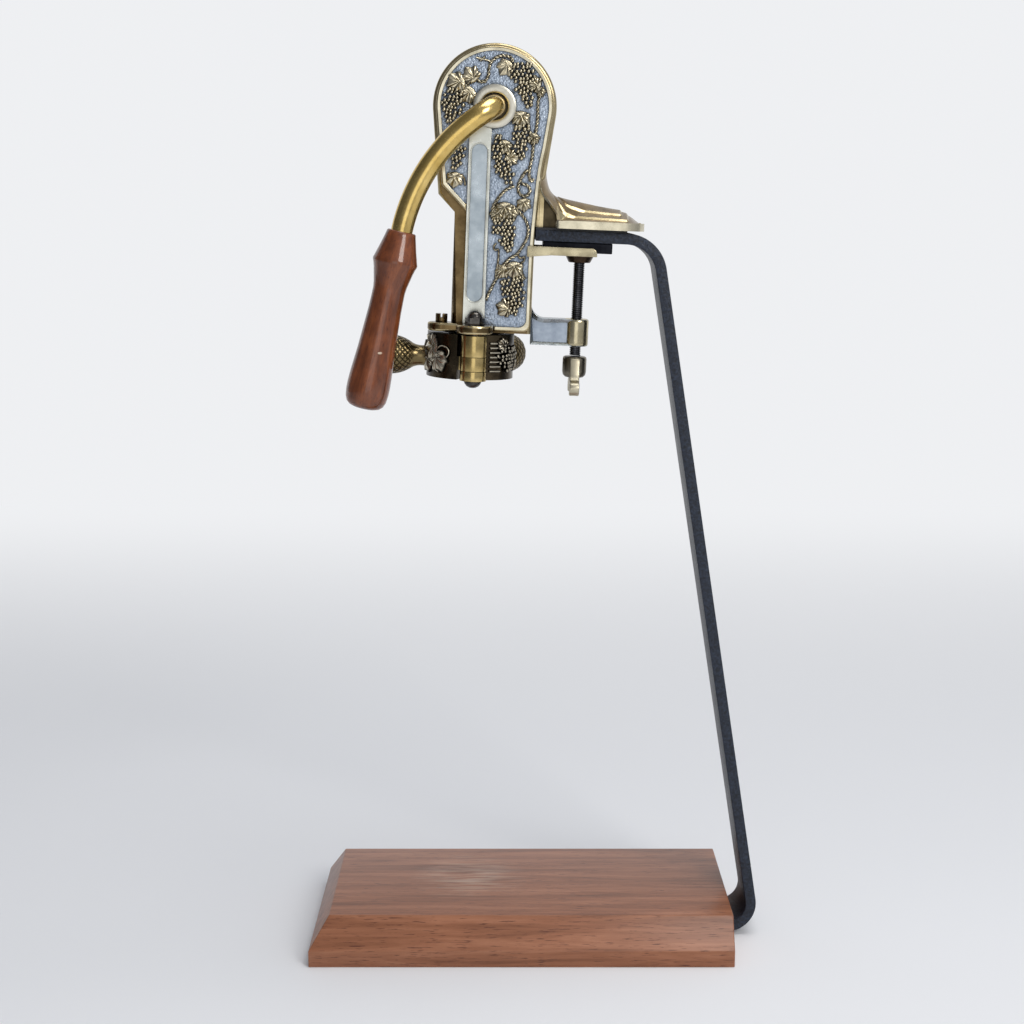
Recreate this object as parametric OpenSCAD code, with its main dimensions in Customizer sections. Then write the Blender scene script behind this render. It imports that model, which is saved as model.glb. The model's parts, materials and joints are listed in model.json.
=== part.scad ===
// Countertop corkscrew: a lever wine opener clamped on a bent bar stand with a wooden base.
// Millimetres. +X is to the right and +Y to the back of someone who faces the cover, +Z is up.
// The origin is the centre of the base's underside.

/* [Base] */
// Length of the wooden base, left to right
base_l = 253; // [200:1:320]
// Width of the wooden base, front to back
base_w = 130; // [100:1:180]
// Height of the base's upright edge
edge_h = 10; // [6:0.5:20]
// Height of the bevel above the upright edge
bevel_h = 18; // [8:0.5:25]
// How far the bevel runs in from the edge
bevel_run = 11.5; // [4:0.5:20]

/* [Stand] */
// Width of the steel bar
bar_w = 38; // [34:1:46]
// Thickness of the steel bar
bar_t = 6.35; // [5:0.05:8]
// Lean of the upright from the vertical, in degrees
leg_lean = 9; // [4:0.5:14]
// Straight length of the upright between its two bends
leg_l = 390; // [340:1:440]
// Inside radius of the bend beside the base
low_bend_r = 12; // [8:0.5:18]
// Inside radius of the bend below the opener
top_bend_r = 18; // [10:0.5:24]
// Straight length of the top leg, which carries the opener
top_l = 52.5; // [48:0.5:70]
// Length of the foot under the base
foot_l = 60; // [45:1:80]
// Height of the foot above the table
foot_rise = 2; // [1:0.1:4]
// Radius of a foot screw
foot_screw_r = 2; // [1.5:0.1:2.5]
// Length of the key under the top leg
key_l = 40; // [30:0.5:44]
// Height of the key under the top leg
key_h = 6; // [4:0.1:8]

/* [Housing] */
// Lean of the opener from the vertical, in degrees
head_lean = 2.4; // [0:0.1:5]
// Depth of the housing, front to back
case_d = 30; // [28:0.5:36]
// Wall of the housing
wall = 3; // [2:0.1:4]
// Distance from the worm's plane to the housing's back
case_back = 16; // [15:0.5:20]
// Half width of the housing below the head
flank = 30.6; // [29:0.1:33]
// Left side of the column, from the lever's shaft
col_left = 20.8; // [19:0.1:24]
// Right side of the column, from the lever's shaft
col_right = 26; // [24.5:0.1:28]
// Drop from the lever's shaft to the left shoulder
left_shoulder = 50.2; // [47:0.1:54]
// Drop from the lever's shaft to the right shoulder
right_shoulder = 39; // [37:0.1:41]
// Thickness of the flange at the column's bottom
floor_t = 5; // [4:0.1:7]
// Radius of a cover screw
cover_screw_r = 1.25; // [1:0.05:1.5]

/* [Cover] */
// Thickness of the cover's plate
cover_t = 3; // [2:0.1:4]
// Set back of the cover's edge from the housing's edge
cover_inset = 2; // [1:0.1:3]
// Width of the cover's rim
rim_w = 2.6; // [1.5:0.1:4]
// Height of the rim above the field
rim_h = 1; // [0.5:0.1:2]
// Width of the upright strip
strip_w = 12.7; // [10:0.1:14]
// Height of the strip above the field
strip_h = 1.6; // [1.2:0.1:2.5]
// Width of the bare panel in the strip
panel_w = 9; // [6:0.1:9.5]
// Length of the bare panel in the strip
panel_l = 89.5; // [70:0.5:98]
// Height of the panel's lower end above the cover's bottom
panel_rise = 21; // [12:0.5:24]
// Depth of the bare panel
panel_d = 0.6; // [0.2:0.1:1]

/* [Lever] */
// Swing of the lever, in degrees
lever_swing = 160; // [130:1:165]
// Radius of the lever's shaft
shaft_r = 5; // [4:0.1:5.5]
// Radius of the bent brass rod
rod_r = 6.2; // [5.5:0.1:6.8]
// Distance from the worm's plane forward to the rod
rod_out = 34; // [33:0.5:40]
// Radius of the bend from the shaft into the rod
elbow_r = 12; // [9:0.5:13]
// Slope of the rod at the elbow, in degrees from straight down
rod_slope = 53; // [48:0.5:56]
// Slope of the handle, in degrees from straight down
handle_slope = 10.5; // [6:0.5:14]
// Radius of the rod's long curve
rod_curve_r = 105; // [98:1:115]
// Length of the wooden handle
handle_l = 103; // [95:1:108]
// Radius of the handle at its shoulder
handle_r = 12.9; // [11:0.1:13.2]
// Radius of the tang inside the handle
tang_r = 4; // [3:0.1:5]
// Radius of the pivot ring's flange
ring_r = 12.4; // [11:0.1:14]
// Thickness of the pivot ring's flange
ring_t = 3; // [2:0.1:4]

/* [Worm drive] */
// Travel of the worm
stroke = 50; // [46:0.5:52]
// Lead of the worm
worm_lead = 10; // [9:0.5:11]
// Radius of the circle that the worm's wire winds on
worm_r = 3; // [2.6:0.1:3.2]
// Radius of the worm's wire
wire_r = 1.5; // [1.2:0.1:1.6]
// Distance of the worm's axis left of the lever's shaft
worm_left = 7.5; // [7:0.1:8]
// Distance of the guide rod right of the lever's shaft
guide_right = 12; // [11:0.1:13]
// Radius of the guide rod
guide_r = 3; // [2:0.1:3.5]
// Radius of the follower pin
follower_r = 2.7; // [2:0.1:3]
// Thickness of the cam disc
cam_t = 8; // [7:0.1:8.5]
// Depth of the cam's groove
groove_d = 4; // [3:0.1:5]

/* [Jaws] */
// Inside radius of the jaws' rubber liners
liner_r = 16.5; // [15.5:0.1:18]
// Thickness of the liners
liner_t = 2; // [1.5:0.1:3]
// Wall of the left jaw behind its liner
left_jaw_wall = 8.6; // [7:0.1:10.5]
// Wall of the right jaw behind its liner
right_jaw_wall = 5.6; // [4.5:0.1:7]
// Height of the jaws
jaw_h = 26; // [22:0.5:30]
// Distance from the worm's axis forward to the hinge bolt
hinge_out = 27; // [26:0.1:28]
// Radius of the hinge bolt
hinge_r = 3; // [2.5:0.1:4]
// Radius of the hinge knuckles
knuckle_r = 7.7; // [6.5:0.1:8.2]
// Direction of the right jaw's grip, in degrees to the left of straight right
right_grip_turn = 64; // [55:1:75]
// Gap between the jaws' ends at the back
jaw_gap = 6; // [5:0.1:9]

/* [Clamp] */
// Drop from the lever's shaft to the hook's underside
hook_drop = 66.7; // [64:0.1:70]
// Reach of the hook from the lever's shaft
hook_reach = 88.9; // [84:0.1:100]
// Width of the hook's pad
hook_w = 48; // [44:0.5:54]
// Thickness of the hook's soft liner
hook_liner_t = 1.3; // [0.8:0.1:2]
// Distance of the clamp screw from the lever's shaft
screw_reach = 53; // [51:0.1:56]
// Radius of the clamp screw
screw_r = 3.3; // [2.5:0.1:3.5]
// Width of the clamp shoe
shoe_w = 42; // [41:0.5:46]
// Width of the clamp arm
arm_w = 14; // [13:0.5:20]

/* [Fits] */
// Radial clearance of a shaft in its bore
run_fit = 0.05; // [0.02:0.01:0.09]
// Gap between faces that move past each other
face_gap = 0.3; // [0.25:0.05:0.4]

/* [Hidden] */
$fn = 64;
// Overlap that makes cuts go right through
eps = 0.1;

// Stand: the bar's bends in the X-Z plane, from the square end of the base up to the opener
base_h = edge_h + bevel_h;
low_bend_c = [base_l / 2, foot_rise + bar_t + low_bend_r];
leg_dir = [-sin(leg_lean), cos(leg_lean)];
leg_out = [cos(leg_lean), sin(leg_lean)];
top_dir = [-cos(head_lean), sin(head_lean)];
top_out = [sin(head_lean), cos(head_lean)];
top_bend_c = low_bend_c + leg_l * leg_dir + (low_bend_r - top_bend_r) * leg_out;
bar_end = top_bend_c + top_l * top_dir + (top_bend_r + bar_t) * top_out;
groove_gap = 0.2;
foot_screw_grip = 12;
foot_screw_head_r = 2 * foot_screw_r;
foot_screw_x = [for (side = [-1, 1]) base_l / 2 - foot_l / 2 + side * foot_l / 4];

// Opener: its own frame has the lever's shaft at the origin and leans with the bar's top leg
bar_end_gap = 0.5;
bar_top_z = -hook_drop - hook_liner_t;
bar_bottom_z = bar_top_z - bar_t;
bar_end_x = col_right + bar_end_gap;
pivot_x = bar_end[0] - bar_end_x * cos(head_lean) - bar_top_z * sin(head_lean);
pivot_z = bar_end[1] + bar_end_x * sin(head_lean) - bar_top_z * cos(head_lean);

// Levels from front to back
case_front = case_back - case_d;
field_y = case_front - cover_t;
rim_y = field_y - rim_h;
strip_y = field_y - strip_h;
ring_y = field_y - ring_t;
rear_wall_y = case_back - wall;
cam_gap = 2;
cam_back = rear_wall_y - cam_gap;
cam_front = cam_back - cam_t;
arm_gap = 0.4;
slider_back = cam_front - arm_gap;
slider_t = 5.1;
slider_front = slider_back - slider_t;
seat_w = 2.5;
lip_y = case_front + wall;
rod_end_y = field_y + 1;
ring_back_y = case_front + 4;

// The cam and its follower, and the head that holds them
slider_half_w = 4.4;
shaft_gap = 1.1;
follower_x = -(shaft_r + shaft_gap + slider_half_w);
half_stroke = stroke / 2;
groove_half_w = follower_r + face_gap;
cam_lip = 1;
cam_r = norm([follower_x, half_stroke]) + groove_half_w + cam_lip;
cam_clear = 1.3;
head_r = cam_r + cam_clear + wall;
key_size = 3;
// Where the flanks leave the head's circle, in degrees below the shaft
flank_turn = 7.5;

// Levels from the lever's shaft down
worm_x = -worm_left;
guide_x = guide_right;
shelf_top = -(head_r + 2.6);
shelf_t = 6;
block_gap = 6;
block_top = shelf_top - shelf_t - block_gap;
block_wall = 8;
window_h = 8;
block_cap = 6;
block_bottom = block_top - block_cap - window_h - block_wall;
floor_gap = 1.5;
floor_top = block_bottom - stroke - floor_gap;
floor_bottom = floor_top - floor_t;
cover_bottom = floor_bottom + 1.3;

// The carriage block between the column's walls
block_side_gap = 1.8;
block_left = -col_left + wall + block_side_gap;
block_right = guide_x + guide_r + 2.5;
block_half_d = 7;
shelf_left = guide_x - guide_r - 3;

// The worm, its guide and the pin between its turns
shank_r = worm_r;
collar_r = worm_r + wire_r - 0.1;
collar_h = 2.7;
collar_bottom = block_bottom - face_gap - collar_h;
worm_tip = floor_bottom + 2.5;
guide_bore_r = worm_r + wire_r + 0.5;
guide_outer_r = guide_bore_r + 3;
drive_pin_r = 1.3;
drive_pin_z = floor_bottom + 1.5;
drive_pin_in = worm_r - 0.6;
nut_h = 5;
washer_t = 1;
window_bottom = block_bottom + block_wall;
shank_top = window_bottom + face_gap + washer_t + nut_h + 0.5;
seat_r = liner_r - 1.5;
seat_t = 2;

// The jaws about the worm's axis, with the hinge in front
jaw_r = liner_r + liner_t;
left_jaw_r = jaw_r + left_jaw_wall;
right_jaw_r = jaw_r + right_jaw_wall;
jaw_top = floor_bottom - 1.1;
jaw_bottom = jaw_top - jaw_h;
hinge_x = worm_x + 1;
hinge_y = -hinge_out;
lug_r = knuckle_r + 2.9;
high_joint = jaw_top - 0.47 * jaw_h;
low_joint = jaw_top - 0.785 * jaw_h;
hinge_turn = 270;
knuckle_turn = asin((knuckle_r + 1) / hinge_out);
knuckle_lap = 5;
left_grip_turn = 180;
split_turn = (left_grip_turn + right_grip_turn) / 2;
grip_z = (jaw_top + jaw_bottom) / 2 - 2;
nut_across = 9.8;
acorn_skirt_h = 4.2;
acorn_dome_r = 4.5;
acorn_h = 8.3;
bolt_head_r = 5.2;
bolt_head_h = 4.1;
bolt_top = floor_top + acorn_skirt_h;
left_lug_r = 8;
left_lug_x = -26.3;
left_lug_y = -12;
lug_screw_r = 2;
lug_screw_head_r = 3.5;
lug_screw_head_h = 4.9;

// The clamp
key_left = bar_end_x + 4.5;
key_half_w = bar_w / 2 - 1.5;
key_bottom = bar_bottom_z - key_h;
shoe_floor = key_bottom - face_gap;
shoe_plate_t = 1.6;
shoe_bottom = shoe_floor - shoe_plate_t;
shoe_heel_t = 3;
shoe_lip_h = 3.2;
shoe_lip_in = key_half_w + 0.5;
shoe_left = col_right - 4.1;
shoe_right = screw_reach + 9.2;
column_gap = 0.4;
cup_h = 4.1;
cup_top_r = screw_r + 5.15;
cup_foot_r = screw_r + 3;
cup_wall = 1.4;
boss_r = screw_r + 2.9;
arm_top = floor_bottom + 9;
arm_bottom = floor_bottom - 6.5;
arm_fillet_r = 8;
hub_r = 7.1;
hub_h = 12.7;
hub_top = arm_bottom - 6.3;
wing_t = 5.8;
wing_half_l = 9;
wing_lobe_r = 8.5;
wing_drop = 14;

// Screws through the housing's back into the cover
screw_boss_r = 3.2;
screw_head_r = 2.4;
screw_head_h = 1.6;
screw_tip_y = field_y + 0.8;
low_boss_half = 2.5;
low_screw = [col_right - wall - low_boss_half, floor_top + low_boss_half];
left_margin = 7.6;
right_margin = 6.6;
cover_screw_at = [[left_margin - flank, -head_r - left_margin],
    [flank - right_margin, -right_shoulder + 5], low_screw];

// Places a shape that is drawn in the opener's own frame
module in_opener() {
    translate([pivot_x, 0, pivot_z]) rotate([0, head_lean, 0]) children();
}

// Plate from y0 back to y1, with its outline drawn in X and Z
module slab(y0, y1) {
    translate([0, y1, 0]) rotate([90, 0, 0]) linear_extrude(y1 - y0) children();
}

// Round bar along Y through a point in X and Z
module rod_y(at, r, y0, y1) {
    translate([at[0], y1, at[1]]) rotate([90, 0, 0]) cylinder(r = r, h = y1 - y0);
}

// Round bar along Z through a point in X and Y
module rod_z(at, r, z0, z1) {
    translate([at[0], at[1], z0]) cylinder(r = r, h = z1 - z0);
}

// Flat block between two corners
module block(low, high) {
    translate(low) cube(high - low);
}

// Part of a ring about the worm's axis, from one direction round to another
module ring_part(r0, r1, z0, z1, from, to) {
    translate([worm_x, 0, z0]) linear_extrude(z1 - z0) intersection() {
        difference() {
            circle(r = r1);
            circle(r = r0);
        }
        polygon(concat([[0, 0]], arc([0, 0], 2 * r1, from, to, 6)));
    }
}

// Points round an arc in a plane
function arc(centre, r, from, to, steps = 36) =
    [for (i = [0:steps]) let (turn = from + (to - from) * i / steps) centre + r * [cos(turn), sin(turn)]];

// One side of the bar, from the foot's end round both bends to the top leg's end
function bar_side(offset) = concat(
    [low_bend_c - [foot_l, low_bend_r + offset]],
    arc(low_bend_c, low_bend_r + offset, -90, leg_lean),
    arc(top_bend_c, top_bend_r + offset, leg_lean, 90 - head_lean),
    [top_bend_c + top_l * top_dir + (top_bend_r + offset) * top_out]);

// Closed tube through rings of points, each ring listed the same way round
module tube(rings) {
    sides = len(rings[0]);
    last = (len(rings) - 1) * sides;
    walls = [for (i = [0:len(rings) - 2]) for (k = [0:sides - 1])
        let (a = i * sides + k, b = i * sides + (k + 1) % sides)
        each [[a, b, b + sides], [a, b + sides, a + sides]]];
    start_cap = [for (k = [1:sides - 2]) [0, k + 1, k]];
    end_cap = [for (k = [1:sides - 2]) [last, last + k, last + k + 1]];
    polyhedron([for (ring = rings) each ring], concat(walls, start_cap, end_cap));
}

function reversed(list) = [for (i = [len(list) - 1:-1:0]) list[i]];

// Ring of points about a centre, square to two directions
function ring(centre, r, across, up, sides) =
    [for (k = [0:sides - 1]) centre + r * (cos(360 * k / sides) * across + sin(360 * k / sides) * up)];

module foot_screw(gap) {
    head_h = foot_screw_head_r - foot_screw_r;
    translate([0, 0, foot_rise])
        cylinder(r1 = foot_screw_head_r + gap, r2 = foot_screw_r + gap, h = head_h);
    rod_z([0, 0], foot_screw_r + gap, foot_rise, foot_rise + bar_t + foot_screw_grip);
}

module base_board() {
    top = base_h + eps;
    color("saddlebrown") difference() {
        block([-base_l / 2, -base_w / 2, 0], [base_l / 2, base_w / 2, base_h]);
        for (side = [-1, 1]) translate([-base_l / 2 - eps, 0, 0])
            rotate([90, 0, 90]) linear_extrude(base_l + 2 * eps)
                polygon([[side * base_w / 2, edge_h], [side * (base_w / 2 + eps), edge_h],
                    [side * (base_w / 2 + eps), top], [side * (base_w / 2 - bevel_run), top],
                    [side * (base_w / 2 - bevel_run), base_h]]);
        slab(-base_w / 2 - eps, base_w / 2 + eps)
            polygon([[-base_l / 2, edge_h], [-base_l / 2 - eps, edge_h], [-base_l / 2 - eps, top],
                [-base_l / 2 + bevel_run, top], [-base_l / 2 + bevel_run, base_h]]);
        block([base_l / 2 - foot_l - groove_gap, -bar_w / 2 - groove_gap, -eps],
            [base_l / 2 + eps, bar_w / 2 + groove_gap, foot_rise + bar_t]);
        for (x = foot_screw_x) translate([x, 0, 0]) foot_screw(0);
    }
}

module stand_arm() {
    color("dimgray") difference() {
        slab(-bar_w / 2, bar_w / 2) polygon(concat(bar_side(bar_t), reversed(bar_side(0))));
        for (x = foot_screw_x) translate([x, 0, 0]) foot_screw(run_fit);
    }
}

module arm_key() {
    color("black") in_opener()
        block([key_left, -key_half_w, key_bottom], [key_left + key_l, key_half_w, bar_bottom_z]);
}

module foot_screws() {
    color("silver") for (x = foot_screw_x) translate([x, 0, 0]) foot_screw(0);
}

// Outline of the head and the column, drawn in by an inset and cut off at a level
module case_outline(inset, bottom) {
    corner = inset * tan(22.5);
    left = -col_left + inset;
    right = col_right - inset;
    r = head_r - inset;
    circle(r = r);
    polygon([-r * [cos(flank_turn), sin(flank_turn)], [-flank + inset, -left_shoulder + corner],
        [left, -left_shoulder - (flank - col_left) + corner], [left, bottom], [right, bottom],
        [right, -right_shoulder - (flank - col_right) + corner], [flank - inset, -right_shoulder + corner],
        r * [cos(flank_turn), -sin(flank_turn)]]);
}

// Outline of the cover, whose left edge runs in to the strip, drawn in by a further inset
module cover_outline(inset) {
    all = cover_inset + inset;
    corner = all * tan(22.5);
    corner_r = 4.6;
    left = worm_x - strip_w / 2 + inset;
    right = col_right - inset - 0.4;
    bottom = cover_bottom + inset;
    slant_top = -left_shoulder + 4.4 + corner;
    r = head_r - all;
    circle(r = r);
    polygon([-r * [cos(flank_turn), sin(flank_turn)], [-flank + all, slant_top], [left, slant_top - (left + flank - all)], [left, bottom],
        [right - corner_r, bottom], [right, bottom + corner_r],
        [right, -right_shoulder - (flank - cover_inset - col_right + 0.4) + corner],
        [flank - all, -right_shoulder + corner], r * [cos(flank_turn), -sin(flank_turn)]]);
    translate([right - corner_r, bottom + corner_r]) circle(r = corner_r);
}

module rear_housing() {
    color("darkkhaki") in_opener() difference() {
        union() {
            difference() {
                slab(case_front, case_back) case_outline(0, floor_bottom);
                slab(lip_y, rear_wall_y) case_outline(wall, floor_top);
                slab(case_front - eps, lip_y + eps) intersection() {
                    cover_outline(seat_w);
                    case_outline(wall, floor_top);
                }
            }
            block([shelf_left, lip_y, shelf_top - shelf_t], [col_right - eps, case_back - eps, shelf_top]);
            for (at = [cover_screw_at[0], cover_screw_at[1]]) rod_y(at, screw_boss_r, case_front, case_back - eps);
            block([low_screw[0] - low_boss_half, case_front, floor_top - eps],
                [col_right - eps, case_back - eps, low_screw[1] + low_boss_half]);
            rod_z([hinge_x, hinge_y], lug_r, floor_bottom, floor_top);
            block([hinge_x - lug_r, hinge_y, floor_bottom], [hinge_x + lug_r, case_front + eps, floor_top]);
            rod_z([left_lug_x, left_lug_y], left_lug_r, floor_bottom, floor_top);
            block([left_lug_x, left_lug_y - left_lug_r, floor_bottom],
                [eps - col_left, left_lug_y + left_lug_r, floor_top]);
            block([-col_left, left_lug_y - left_lug_r, floor_bottom],
                [hinge_x, case_front + eps, floor_top]);
        }
        rod_z([guide_x, 0], guide_r, floor_bottom + 2, shelf_top + eps);
        rod_z([worm_x, 0], guide_outer_r, floor_bottom - eps, floor_top + eps);
        rod_z([hinge_x, hinge_y], hinge_r, floor_bottom - eps, floor_top + eps);
        rod_z([left_lug_x, left_lug_y], lug_screw_r, floor_bottom - eps, floor_top + eps);
        rod_y([0, 0], shaft_r + 3, rear_wall_y - eps, case_back + eps);
        for (at = cover_screw_at) rod_y(at, cover_screw_r, case_front - eps, case_back + eps);
    }
}

module front_cover() {
    strip_left = worm_x - strip_w / 2;
    panel_foot = cover_bottom + panel_rise;
    panel_top = panel_foot + panel_l - panel_w;
    color("slategray") in_opener() difference() {
        union() {
            slab(field_y, case_front) cover_outline(0);
            slab(rim_y, field_y) difference() {
                cover_outline(0);
                cover_outline(rim_w);
            }
            slab(strip_y, field_y) intersection() {
                cover_outline(0);
                translate([strip_left, cover_bottom]) square([strip_w, -cover_bottom]);
            }
        }
        slab(strip_y - eps, strip_y + panel_d) {
            translate([worm_x - panel_w / 2, panel_foot]) square([panel_w, panel_top - panel_foot]);
            for (z = [panel_foot, panel_top]) translate([worm_x, z]) circle(d = panel_w);
        }
        rod_y([0, 0], ring_r, strip_y - eps, field_y);
        rod_y([0, 0], shaft_r + 3.5, field_y - eps, case_front + eps);
        block([hinge_x - lug_r, strip_y - eps, cover_bottom - eps], [hinge_x + lug_r, case_front + eps, floor_top]);
        for (at = cover_screw_at) rod_y(at, cover_screw_r, screw_tip_y, case_front + eps);
    }
}

module cover_screws() {
    color("silver") in_opener() for (at = cover_screw_at) {
        rod_y(at, cover_screw_r, screw_tip_y, case_back);
        rod_y(at, screw_head_r, case_back, case_back + screw_head_h);
    }
}

// Cross-section of the hook at x, from front to back, with the heights of its edges and its ridge over the bar
hook_ridge_w = 10;
function hook_section(x, front, back, edge_h, ridge_h) = [for (p = [[back, 0], [back, edge_h],
    [hook_ridge_w / 2, ridge_h], [-hook_ridge_w / 2, ridge_h], [front, edge_h], [front, 0]])
    [x, p[0], p[1] - hook_drop]];

module table_hook() {
    root = col_right;
    half_w = hook_w / 2;
    edge_h = 4.5;
    corner = 10;
    // The saddle leaves the housing's right shoulder, flares and falls to the pad
    shoulder_h = hook_drop - right_shoulder;
    root_h = shoulder_h - (flank - root);
    color("darkgoldenrod") in_opener() tube([
        hook_section(root, case_front, case_back, root_h, root_h),
        hook_section(flank, case_front - 0.5, case_back + 0.2, 18.5, shoulder_h),
        hook_section(root + 8, -0.69 * half_w, 0.73 * half_w, 13.9, 21.2),
        hook_section(root + 11, -0.85 * half_w, 0.85 * half_w, 9, 18.6),
        hook_section(root + 13, -half_w, half_w, edge_h, 17.8),
        hook_section(root + 32, -half_w, half_w, edge_h, 14),
        hook_section(hook_reach - corner, -half_w, half_w, edge_h, 11),
        hook_section(hook_reach - 0.35 * corner, 0.25 * corner - half_w, half_w - 0.25 * corner, edge_h, 7.4),
        hook_section(hook_reach, corner - half_w, half_w - corner, edge_h, edge_h)]);
}

module hook_liner() {
    color("black") in_opener()
        block([bar_end_x, -bar_w / 2, bar_top_z], [bar_end_x + top_l, bar_w / 2, -hook_drop]);
}

module clamp_arm() {
    foot_x = col_right + arm_fillet_r;
    color("slategray") in_opener() difference() {
        union() {
            slab(-arm_w / 2, arm_w / 2) difference() {
                polygon([[col_right, arm_bottom], [screw_reach, arm_bottom], [screw_reach, arm_top], [foot_x, arm_top],
                    [foot_x, arm_top + arm_fillet_r], [col_right, arm_top + arm_fillet_r]]);
                translate([foot_x, arm_top + arm_fillet_r]) circle(r = arm_fillet_r);
            }
            rod_z([screw_reach, 0], max(boss_r, arm_w / 2), arm_bottom, arm_top);
        }
        rod_z([screw_reach, 0], screw_r + run_fit, arm_bottom - eps, arm_top + eps);
    }
}

module pivot_ring() {
    color("ivory") in_opener() difference() {
        union() {
            rod_y([0, 0], ring_r, ring_y, field_y);
            rod_y([0, 0], shaft_r + 3.5, field_y, ring_back_y);
        }
        rod_y([0, 0], rod_r + 1.2, ring_y - eps, rod_end_y + face_gap);
        rod_y([0, 0], shaft_r + run_fit, field_y, ring_back_y + eps);
    }
}

module rear_bush() {
    color("goldenrod") in_opener() difference() {
        rod_y([0, 0], shaft_r + 3, rear_wall_y, case_back);
        rod_y([0, 0], shaft_r + run_fit, rear_wall_y - eps, case_back + eps);
    }
}

module cam_key() {
    color("silver") in_opener()
        block([-key_size / 2, cam_front, shaft_r - key_size / 2], [key_size / 2, cam_back, shaft_r + key_size / 2]);
}

module lever_shaft() {
    color("silver") difference() {
        in_opener() rod_y([0, 0], shaft_r, rod_end_y, case_back - face_gap);
        cam_key();
    }
}

// Where the follower pin lies on the cam when the lever has turned by t degrees
function groove_at(t) =
    let (z = half_stroke * (1 - 2 * t / lever_swing))
    [follower_x * cos(t) - z * sin(t), follower_x * sin(t) + z * cos(t)];

// Edge of the groove, to one side of its middle line
function groove_edge(t, side) =
    let (step = groove_at(t + 1) - groove_at(t - 1))
    groove_at(t) + side * groove_half_w * [-step[1], step[0]] / norm(step);

module cam_groove() {
    steps = 32;
    turn = lever_swing / steps;
    polygon(concat([for (i = [0:steps]) groove_edge(i * turn, 1)],
        [for (i = [steps:-1:0]) groove_edge(i * turn, -1)]));
    for (t = [0, lever_swing]) translate(groove_at(t)) circle(r = groove_half_w);
}

module cam_disc() {
    color("gray") difference() {
        in_opener() difference() {
            rod_y([0, 0], cam_r, cam_front, cam_back);
            rod_y([0, 0], shaft_r, cam_front - eps, cam_back + eps);
            slab(cam_front - eps, cam_front + groove_d) cam_groove();
        }
        cam_key();
    }
}

module shaft_clip() {
    clip_t = 1.2;
    color("silver") in_opener() difference() {
        rod_y([0, 0], shaft_r + 2.5, ring_back_y + face_gap, ring_back_y + face_gap + clip_t);
        rod_y([0, 0], shaft_r, ring_back_y, ring_back_y + 2 * clip_t);
    }
}

// The rod's bends: out of the shaft to the front, then down along the long curve
elbow_end = elbow_r * [-sin(rod_slope), -cos(rod_slope)];
curve_c = elbow_end + rod_curve_r * [cos(rod_slope), -sin(rod_slope)];
handle_at = curve_c + rod_curve_r * [-cos(handle_slope), sin(handle_slope)];

rod_sides = 32;
elbow_steps = 10;
curve_steps = 16;

// Ring of the rod in the elbow, after a turn of t degrees
function elbow_ring(t, y) =
    let (down = [-sin(rod_slope), 0, -cos(rod_slope)], side = [cos(rod_slope), 0, -sin(rod_slope)],
        centre = elbow_r * (1 - cos(t)) * down + [0, y - elbow_r * sin(t), 0],
        heading = sin(t) * down - cos(t) * [0, 1, 0])
    ring(centre, rod_r, side, cross(heading, side), rod_sides);

// Ring of the rod in the long curve, where it slopes by t degrees from straight down
function curve_ring(t) =
    let (heading = [-sin(t), 0, -cos(t)], side = [cos(t), 0, -sin(t)],
        centre = [curve_c[0], -rod_out, curve_c[1]] - rod_curve_r * side)
    ring(centre, rod_r, side, cross(heading, side), rod_sides);

module lever_arm() {
    color("gold") in_opener() tube(concat(
        [elbow_ring(0, rod_end_y)],
        [for (i = [0:elbow_steps]) elbow_ring(90 * i / elbow_steps, elbow_r - rod_out)],
        [for (i = [1:curve_steps]) curve_ring(rod_slope + (handle_slope - rod_slope) * i / curve_steps)]));
}

// Places a shape that is drawn along the handle, downwards from its top
module in_handle() {
    in_opener() translate([handle_at[0], -rod_out, handle_at[1]]) rotate([0, handle_slope, 0]) children();
}

module handle_tang() {
    color("silver") in_handle() rod_z([0, 0], tang_r, -0.6 * handle_l, 0);
}

// Turned profile: distance from the top as a share of the length, and radius from the shoulder's radius
handle_turning = [[0, -4.8], [0.17, 0], [0.2, -0.6], [0.26, -2.4], [0.33, -3.6], [0.43, -3.5], [0.53, -2.9],
    [0.67, -2], [0.78, -1], [0.86, -0.5], [0.92, -0.6], [0.965, -1.6], [0.99, -3.6], [1, -6]];

module wooden_handle() {
    color("sienna") in_handle() difference() {
        rotate_extrude() polygon(concat([[0, 0]],
            [for (p = handle_turning) [handle_r + p[1], -p[0] * handle_l]], [[0, -handle_l]]));
        rod_z([0, 0], tang_r, -0.6 * handle_l, eps);
    }
}

module carriage() {
    color("lightsteelblue") in_opener() difference() {
        union() {
            block([block_left, -block_half_d, block_bottom], [block_right, block_half_d, block_top]);
            block([follower_x - slider_half_w, slider_front, block_top - eps],
                [follower_x + slider_half_w, slider_back, half_stroke]);
            rod_y([follower_x, half_stroke], slider_half_w, slider_front, slider_back);
        }
        rod_z([worm_x, 0], shank_r + run_fit, block_bottom - eps, window_bottom + eps);
        block([block_left + 1.5, -block_half_d - eps, window_bottom],
            [worm_x + 7, block_half_d + eps, window_bottom + window_h]);
        rod_z([guide_x, 0], guide_r + run_fit, block_bottom - eps, block_top + eps);
        rod_y([follower_x, half_stroke], follower_r, slider_front - eps, slider_back + eps);
    }
}

module follower_pin() {
    color("silver") in_opener()
        rod_y([follower_x, half_stroke], follower_r, slider_front, cam_front + groove_d - face_gap);
}

module guide_rod() {
    color("silver") in_opener() rod_z([guide_x, 0], guide_r, floor_bottom + 2, shelf_top);
}

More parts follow.
